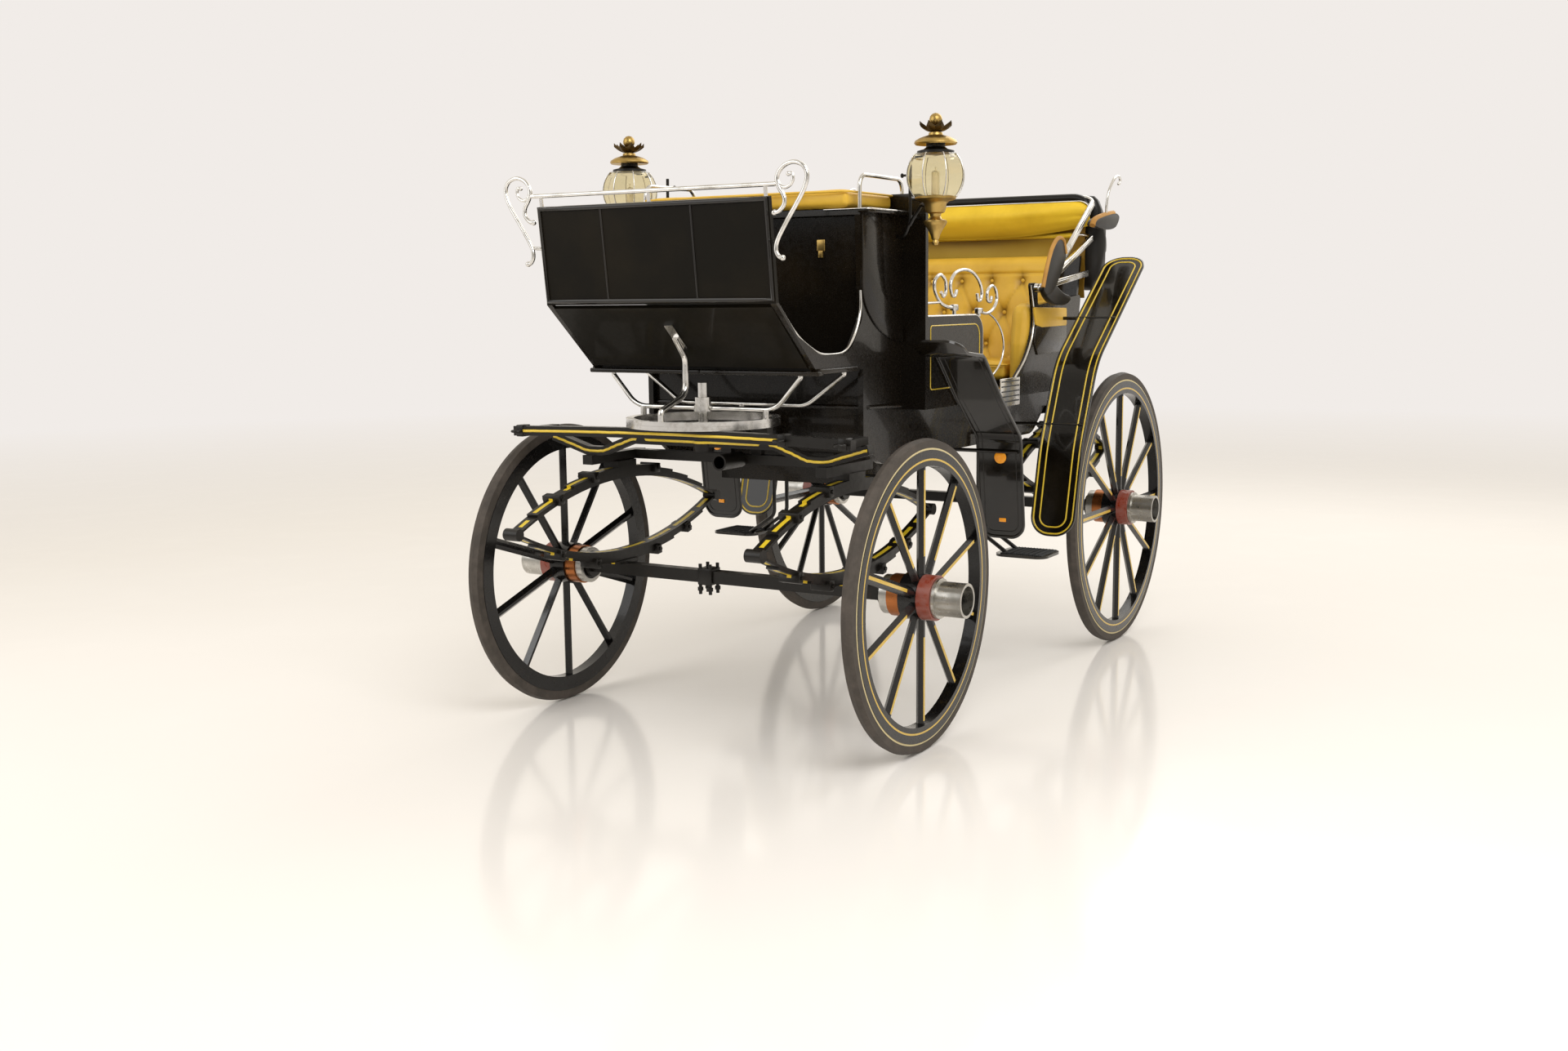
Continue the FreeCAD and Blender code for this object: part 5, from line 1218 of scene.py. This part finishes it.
# %% Front edge roll, bead and swag
EDGE = ((-0.062, -0.016), (-0.054, 0.008), (-0.024, 0.016), (0.006, 0.015), (0.017, 0.003), (0.012, -0.011),
        (-0.020, -0.018))
corner_y = high("hood_front_bow").y - BOW_RADIUS
edge_roll = swept_roll([(bow_corner.x + x, bow_corner.z + z) for x, z in EDGE], corner_y - 0.012, 28, 60,
                       0.03)
for vertex in edge_roll.data.vertices:
    fall = max(0.0, (abs(vertex.co.y) - (corner_y - 0.10)) / 0.10)
    vertex.co.z -= 0.050 * fall ** 2
    vertex.co.x += 0.012 * fall ** 2
hand_over(edge_roll, "hood_edge_roll", HIDE, "hood_front", smooth=60)

bead_z, bead_x = bow_corner.z - 16 * MM, bow_corner.x + 16 * MM
drop_x, drop_z = bow_corner.x + 40 * MM, bow_corner.z - 75 * MM
half = corner_y - 0.012
bead_path = [(drop_x, -half, drop_z), (bead_x, -half, bead_z, 0.055), (bead_x, half, bead_z, 0.055),
             (drop_x, half, drop_z)]
hand_over(bar(bent(bead_path, 12), 4 * MM), "hood_edge_bead", BRIGHT, "hood_front")


def swag_place(u, v):
    """The lining that hangs from the front bow: longer in the middle, drawn up at the sides."""
    side = 2 * u - 1
    y = side * (half - 6 * MM)
    top_z = bead_z - 2 * MM - 0.030 * max(0.0, (abs(side) - 0.86) / 0.14) ** 2
    low_z = 1.680 + 0.050 * abs(side) ** 2.2
    z = top_z + (low_z - top_z) * v
    belly = 0.026 * math.sin(math.pi * min(v * 1.05, 1.0)) ** 0.8
    fold = 0.010 * math.sin(5.2 * v + 1.9 * side * side) * math.sin(math.pi * v)
    crease = 4 * MM * noise.noise(Vector((y * 4, v * 5, 8.2))) * math.sin(math.pi * v)
    return Vector((bead_x - 9 * MM + belly + fold + crease - 0.030 * v ** 3, y, z))


swag = shaped_grid(96, 36, swag_place)
# Painted shade: the swag darkens towards its lower edge, where it turns under.
store_painted_shade(swag, lambda co: 0.55 * ((bead_z - co.z) / 0.15) ** 3)
apply_modifier(swag, "SOLIDIFY", thickness=6 * MM, offset=-1)
apply_modifier(swag, "BEVEL", width=2.4 * MM, segments=2, limit_method="ANGLE")
hand_over(swag, "hood_lining_swag", LINING, "hood_front")
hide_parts("hood_roll")

# %% Bow sleeves and flat slats
for node, body, size in (("hood_middle_bow", "hood_middle", 11 * MM),
                         ("hood_rear_bow", "carriage", 10 * MM)):
    cross_x, cross_z, wide = low(node).x + BOW_RADIUS, high(node).z - BOW_RADIUS, high(node).y - 0.065
    sleeve = [(cross_x + size * math.cos(t), cross_z + size * math.sin(t)) for t in spaced(0, 5.5, 8)]
    hand_over(swept_roll(sleeve, wide, 16, 40, 0.012), node + "_sleeve", LINING, body)


def slat(node, body, name):
    """A flat bright bar over a bow's side, with a raised rib, from the pivot to the corner."""
    end = Vector((low(node).x + BOW_RADIUS, 0, high(node).z - BOW_RADIUS))
    along = end - Vector((pivot.x, 0, pivot.z))
    length = along.length - 0.045
    y = high(node).y - BOW_RADIUS
    parts = [block((0.016, -8 * MM, -13 * MM), (length, 8 * MM, 13 * MM), 3 * MM, 2),
             block((0.030, 7 * MM, -4 * MM), (length - 0.015, 9.5 * MM, 4 * MM), 2 * MM, 2)]
    piece = joined(parts)
    piece.data.transform(Matrix.Translation((pivot.x, y, pivot.z))
                         @ Matrix.Rotation(math.atan2(-along.z, along.x), 4, "Y"))
    return pair(piece, name, BRIGHT, body)


for bow, body in (("front", "hood_front"), ("middle", "hood_middle"), ("rear", "carriage")):
    slat("hood_%s_bow" % bow, body, bow + "_slat")

# %% [markdown]
# ## Trim of the coachman's box
# The pillar under the seat is a raised plate with a waist, cut by hand to a curve. A flat plate starts
# as a circle whose points are moved to the outline, then it is thickened and its edges are eased.


# %% Plate maker
def plate(outline, thickness, edge=1.5 * MM):
    """A flat plate through outline, half its thickness on either side."""
    piece = primitive("circle", vertices=len(outline), fill_type="NGON")
    for vertex, point in zip(piece.data.vertices, outline):
        vertex.co = point
    apply_modifier(piece, "SOLIDIFY", thickness=thickness, offset=0)
    apply_modifier(piece, "BEVEL", width=edge, segments=2, limit_method="ANGLE")
    return mend_normals(piece)


def side_plate(points, y, thickness, edge=1.5 * MM):
    """A plate that stands along the carriage's side, from (x, z) points."""
    return plate([(x, y, z) for x, z in points], thickness, edge)


# %% Pillar, wings and ledges
wall_y = high("boot_sides").y
cushion_foot = low("driver_cushion").z
WAIST = ((0.500, 1.330), (0.550, 1.372), (0.605, 1.420), (0.632, 1.480), (0.640, 1.560), (0.645, 1.625),
         (0.652, cushion_foot - 12 * MM))
PILLAR_FRONT = ((0.793, cushion_foot - 12 * MM), (0.791, 1.560), (0.790, 1.470), (0.760, 1.400),
                (0.690, 1.340), (0.600, 1.300), (0.500, 1.285))
outline = [(p.x, p.z) for run in (WAIST, PILLAR_FRONT) for p in through([(x, 0, z) for x, z in run], 5)]
pair(side_plate(outline, wall_y + 1 * MM, 10 * MM, 3 * MM), "boot_pillar", LACQUER)

wing = block((low("bulkhead").x + 22 * MM, wall_y - 8 * MM, cushion_foot - 14 * MM),
              (box_front + 4 * MM, wall_y + 34 * MM, cushion_foot - 1 * MM), 4 * MM, 3)
pair(wing, "seat_wing", LACQUER)
rim = [(low("bulkhead").x + 24 * MM, wall_y + 35 * MM, cushion_foot - 2 * MM),
       (box_front + 5 * MM, wall_y + 35 * MM, cushion_foot - 2 * MM, 12 * MM),
       (box_front + 5 * MM, 0.30, cushion_foot - 2 * MM)]
pair(bar(bent(rim), 3 * MM), "seat_wing_rim", BRIGHT)

ledge_z = low("boot_sides").z
ledges = [block((0.83, wall_y - 4 * MM, ledge_z - 4 * MM),
                (1.085, wall_y + 13 * MM, ledge_z + 13 * MM), 5 * MM, 3),
          block((1.065, 0, ledge_z - 9 * MM), (1.100, wall_y + 13 * MM, ledge_z + 6 * MM), 5 * MM, 3)]
pair(joined(ledges), "boot_ledge", LACQUER)

# %% Belly moulding
BELLY_Z, NOSE_Z = 1.062, 1.078
nose = strike("body_floor", (1.0, 0.1, NOSE_Z), (-1, 0, 0)).x
run = [(0.20, wall_y, BELLY_Z), (nose, wall_y, NOSE_Z, 22 * MM), (nose, -wall_y, NOSE_Z, 22 * MM),
       (0.20, -wall_y, BELLY_Z)]
hand_over(bar(bent(run, 8), 8 * MM, sides=4), "belly_moulding", LACQUER)

# %% Boot mat
mat_high = [point for point in (strike("boot_floor", (x, 0, 1.6), (0, 0, -1))
                                for x in spaced(0.815, 1.29, 40)) if point]
MAT_HALF, MAT_RIBS = 0.385, 56


def mat_place(u, v):
    spot = mat_high[round(v * (len(mat_high) - 1))]
    rib = 1.3 * MM * math.cos(2 * math.pi * MAT_RIBS * u)
    return Vector((spot.x - 1.5 * MM, (2 * u - 1) * MAT_HALF, spot.z + 3 * MM + rib))


boot_mat = shaped_grid(MAT_RIBS * 4, len(mat_high) - 1, mat_place)
apply_modifier(boot_mat, "SOLIDIFY", thickness=3 * MM, offset=-1)
hand_over(boot_mat, "boot_mat", RUBBER, smooth=40)

# %% Latch on the seat box
latch_face = strike("seat_box", (1.1, 0.264, 1.592), (-1, 0, 0))
latch = [block(latch_face + Vector((-2 * MM, -15 * MM, -4 * MM)),
               latch_face + Vector((4 * MM, 15 * MM, 34 * MM)), 2 * MM),
         block(latch_face + Vector((-2 * MM, -8 * MM, -26 * MM)),
               latch_face + Vector((7 * MM, 8 * MM, -2 * MM)), 2 * MM)]
hand_over(joined(latch), "boot_latch", BRASS)

# %% [markdown]
# ## Fore-carriage trim
# The bed and the splinter bar carry one yellow line each along the front face. The springs are held
# together by iron clips with a bolt through them, and a clamp sits at the middle of the axle.

# %% Lines along the bars
def face_line(node, start_y, end_y, count):
    """Points along the middle of a bar's front face, whatever its rise and fall."""
    points = []
    for y in spaced(start_y, end_y, count):
        hits = struck(node, [(1.6, y, z) for z in spaced(low(node).z, high(node).z, 40)], (-1, 0, 0))
        if hits:
            front = max(hit.x for hit in hits)
            face = [hit.z for hit in hits if hit.x > front - 2 * MM]
            points.append(Vector((front - 1.5 * MM, y, (min(face) + max(face)) / 2)))
    return points


bed_reach = high("bed").y - 8 * MM
hand_over(bar(face_line("bed", -bed_reach, bed_reach, 110), 5 * MM), "bed_line", IRON_LINE,
          "front_carriage")
bar_reach = high("splinter_bar").y - 8 * MM
hand_over(bar(face_line("splinter_bar", -bar_reach, 0.40, 40), 5 * MM), "splinter_bar_line",
          IRON_LINE, "front_carriage")

# %% Trace loops at the bar's ends
loops = []
for y in (-bar_reach + 20 * MM, bar_reach - 20 * MM, 0.405):
    face = face_line("splinter_bar", y, y, 2)[0]
    loops.append(block(face + Vector((-38 * MM, -14 * MM, -19 * MM)),
                       face + Vector((5 * MM, 14 * MM, 20 * MM)), 3 * MM))
    loops.append(primitive("torus", major_radius=16 * MM, minor_radius=4.5 * MM, major_segments=28,
                           minor_segments=10, location=face + Vector((17 * MM, 0, 0))))
hand_over(joined(loops), "trace_loops", IRON, "front_carriage")


# %% Spring clips and axle clamp
def clip_round(node, x, y, upper, width):
    """A clip round one leaf: a band square to the leaf, with a bolt."""
    rise = -1 if upper else 1
    start_z = 1.3 if upper else 0.2
    here = strike(node, (x, y, start_z), (0, 0, rise))
    beside = strike(node, (x + 12 * MM, y, start_z), (0, 0, rise))
    if not here or not beside:
        return []
    slope = math.atan2(beside.z - here.z, beside.x - here.x)
    leaf = 14 * MM
    band = block((-14 * MM, -width / 2, -leaf - 6 * MM), (14 * MM, width / 2, leaf), 3 * MM, 2)
    bolt = bar([(0, -width / 2 - 6 * MM, -2 * MM), (0, width / 2 + 6 * MM, -2 * MM)], 7 * MM, sides=4)
    piece = joined([band, bolt])
    piece.data.transform(Matrix.Translation(here + Vector((0, 0, 6 * MM * rise)))
                         @ Matrix.Rotation(-slope, 4, "Y"))
    return [piece]


for node, body in (("front_springs", "front_carriage"), ("rear_springs", "carriage")):
    spring_y = high(node).y - SPRING_INSET
    half_spring = (high(node).x - low(node).x) / 2
    mid_x = (high(node).x + low(node).x) / 2
    clips = []
    for share in (-0.62, -0.30, 0.30, 0.62):
        for upper in (True, False):
            if (node, share, upper) != ("front_springs", -0.62, True):
                clips += clip_round(node, mid_x + share * half_spring, spring_y, upper, 72 * MM)
    pair(joined(clips), node + "_clips", IRON, body)
    print(node, "clips", len(clips))

axle_x, axle_z = middle("front_axle").x, middle("front_axle").z
CLAMP_Y = -0.09
clamp = [block((axle_x - 30 * MM, CLAMP_Y - 28 * MM, axle_z - 28 * MM),
               (axle_x + 30 * MM, CLAMP_Y + 28 * MM, axle_z + 30 * MM), 4 * MM)]
for x in (axle_x - 23 * MM, axle_x + 23 * MM):
    for y in (CLAMP_Y - 20 * MM, CLAMP_Y + 20 * MM):
        clamp.append(bar([(x, y, axle_z - 60 * MM), (x, y, axle_z + 44 * MM)], 6 * MM, sides=4))
        clamp.append(bar([(x, y, axle_z - 48 * MM), (x, y, axle_z - 36 * MM)], 10 * MM, sides=3))
hand_over(joined(clamp), "axle_clamp", IRON, "front_carriage")

# %% [markdown]
# ## Treads
# Ribbed rubber pads lie on the steps, and a bright ribbed plate protects the sill where feet land.

# %% Treads
step_low, step_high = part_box("steps")
step_top = strike("steps", (middle("steps").x, 0.68, 0.8), (0, 0, -1)).z
pads = [block((step_low.x + 16 * MM, 0.555, step_top - 1 * MM),
              (step_high.x - 16 * MM, step_high.y - 16 * MM, step_top + 3 * MM), 1 * MM)]
for y in spaced(0.570, step_high.y - 30 * MM, 12):
    pads.append(bar([(step_low.x + 22 * MM, y, step_top + 3 * MM),
                     (step_high.x - 22 * MM, y, step_top + 3 * MM)], 2.5 * MM))
pair(joined(pads), "step_tread", RUBBER)

SILL_X, RISER_FOOT, RISER_TOP = (-0.345, -0.155), 1.022, 1.128
treads = [block((SILL_X[0], 0.418, SILL_Z), (SILL_X[1], face_y + 3 * MM, SILL_Z + 5 * MM), 1.5 * MM),
          block((SILL_X[0], face_y, RISER_FOOT), (SILL_X[1], face_y + 4 * MM, RISER_TOP), 1.5 * MM)]
pair(joined(treads), "sill_tread", BRIGHT)
ribs = [bar([(SILL_X[0] + 10 * MM, face_y + 4 * MM, z), (SILL_X[1] - 10 * MM, face_y + 4 * MM, z)],
            2.5 * MM) for z in spaced(1.040, RISER_TOP - 12 * MM, 5)]
pair(joined(ribs), "sill_tread_ribs", RUBBER)

# %% [markdown]
# ## Leather at the hood's hinge
# A stiff leather leaf stands on the pivot and shields the joints, with its raw tan edge showing. Under
# the pivot the leather gathers in a pocket. At the front bow's corner hangs the loose flap that would
# button to the box, and beside it stands the bent silver handle that lifts the hood.

# %% Hinge leather and handle
LEAF_Y = high("hood_front_bow").y + 16 * MM
LEAF = ((-0.395, 1.468), (-0.420, 1.520), (-0.450, 1.572), (-0.488, 1.620), (-0.545, 1.656),
        (-0.602, 1.650), (-0.632, 1.600), (-0.600, 1.545), (-0.545, 1.490), (-0.490, 1.450),
        (-0.430, 1.440))
leaf_curve = through([(x, LEAF_Y, z) for x, z in LEAF], 5, closed=True)
pair(plate(leaf_curve, 7 * MM, 2 * MM), "hinge_leaf", HIDE)
tan_run = through([(x, LEAF_Y, z) for x, z in LEAF[:7]], 6)
pair(bar(tan_run, 8 * MM, sides=4), "hinge_leaf_edge", RAW_EDGE)

POCKET = ((-0.410, 1.462), (-0.440, 1.430), (-0.500, 1.406), (-0.560, 1.398), (-0.640, 1.400),
          (-0.690, 1.416), (-0.680, 1.436), (-0.620, 1.446), (-0.570, 1.462), (-0.520, 1.482),
          (-0.450, 1.482))
pocket = plate(through([(x, LEAF_Y - 10 * MM, z) for x, z in POCKET], 4, closed=True), 26 * MM, 9 * MM)
pair(pocket, "hinge_pocket", HIDE)

FLAP_Y = 0.604
FLAP = ((-0.872, 1.718), (-0.900, 1.742), (-1.002, 1.762), (-1.120, 1.776), (-1.172, 1.760),
        (-1.130, 1.718), (-1.040, 1.704), (-0.960, 1.708), (-0.910, 1.712))
flap_curve = through([(x, FLAP_Y, z) for x, z in FLAP], 5, closed=True)
pair(plate(flap_curve, 36 * MM, 12 * MM), "hood_flap", HIDE, "hood_front")
flap_edge = through([(x, FLAP_Y + 6 * MM, z - 2 * MM) for x, z in FLAP[:4]], 6)
pair(bar(flap_edge, 12 * MM, sides=5), "hood_flap_edge", RAW_EDGE, "hood_front")

HANDLE = ((-1.030, 0.612, 1.765), (-1.024, 0.616, 1.810), (-1.030, 0.620, 1.854), (-1.058, 0.624, 1.893),
          (-1.098, 0.625, 1.920), (-1.140, 0.625, 1.926), (-1.160, 0.625, 1.910), (-1.142, 0.625, 1.896))
handle = [bar(through(HANDLE, 6), 5.5 * MM, sides=4), ball(HANDLE[-1], 7 * MM, rings=8),
          bar(through([(x - 16 * MM, y - 4 * MM, z) for x, y, z in HANDLE[:5]], 6), 4 * MM, sides=4)]
pair(joined(handle), "hood_handle", BRIGHT, "hood_front")

# %% Arm caps
CAP = ((-0.478, 1.392), (-0.834, 1.386), (-0.838, 1.314), (-0.560, 1.312), (-0.505, 1.322))
SHIELD = ((-0.500, 1.318), (-0.838, 1.318), (-0.840, 1.210), (-0.520, 1.205), (-0.485, 1.262))
for outline, thickness, name, finish in ((CAP, 9 * MM, "arm_cap", SEAT),
                                         (SHIELD, 7 * MM, "quarter_shield", LACQUER)):
    run = bent([(x, high("quarter_panels").y + 2 * MM, z, 10 * MM) for x, z in outline], 3, closed=True)
    pair(plate(run, thickness, 3 * MM), name, finish)

# %% [markdown]
# ## Studio
# A wide pale flat floor, whose far part fades to the backdrop's colour, shows no horizon. Its colour makes
# the background; the lamps stay soft. A little gloss on the floor gives the faint reflections of a
# polished floor.

# %% Floor and light
BACKDROP = "#f1ece8"
floor_white, floor_tree, floor_shader, floor_place = finish_named("polished_white_floor",
                                                                  Specular_IOR_Level=0.4)
clouds, wiped = grain(floor_tree, floor_place, 0.6), grain(floor_tree, floor_place, 2)
feed(floor_shader, Base_Color=blend_colours(floor_tree, clouds, "#f8f5f2", "#f4f0ec"),
     Roughness=spread(floor_tree, wiped, 0.3, 0.7, 0.10, 0.16))
reach = add(floor_tree, "VectorMath", {0: floor_place}, operation="LENGTH").outputs["Value"]
far = spread(floor_tree, reach, 5.0, 15.0)
far_light = add(floor_tree, "Emission", {"Color": linear(BACKDROP)}).outputs[0]
blended = add(floor_tree, "MixShader", {0: far, 1: floor_shader.outputs[0], 2: far_light}).outputs[0]
feed(floor_tree.nodes["Material Output"], Surface=blended)
floor = primitive("plane", size=60)
floor.name = "floor"
floor.data.materials.append(floor_white)

world = bpy.data.worlds.new("studio")
bpy.context.scene.world = world
world.use_nodes = True
sky = world.node_tree
seen = add(sky, "LightPath")
direct = maths(sky, "MAXIMUM", seen.outputs["Is Camera Ray"], seen.outputs["Is Transmission Ray"])
facing = add(sky, "SeparateXYZ", {0: add(sky, "TexCoord").outputs["Generated"]}).outputs[0]
mirrored = spread(sky, facing, 0.1, 0.8, 0.9, 0.3)
strength = maths(sky, "MULTIPLY", seen.outputs["Is Glossy Ray"], maths(sky, "SUBTRACT", mirrored, 0.75))
strength = maths(sky, "ADD", strength, 0.75)
strength = maths(sky, "MAXIMUM", strength, direct)
feed(sky.nodes["Background"], Color=blend_colours(sky, direct, "#fbf3e6", BACKDROP), Strength=strength)

LAMPS = (
    # name, place, aimed at, width, power
    ("key", (4.0, 4.5, 5.5), (0.3, 0, 0.8), 4.0, 260),
    ("fill", (5.5, -3.5, 4.0), (0.2, 0, 0.8), 5.0, 130),
    ("back", (-5.0, 1.0, 5.0), (0, 0, 1.0), 5.0, 150),
)
for name, place, target, width, power in LAMPS:
    bpy.ops.object.light_add(type="AREA", location=place)
    lamp = bpy.context.object
    lamp.name = name + "_light"
    lamp.rotation_euler = (Vector(target) - Vector(place)).to_track_quat("-Z", "Y").to_euler()
    lamp.data.size = width
    lamp.data.energy = power
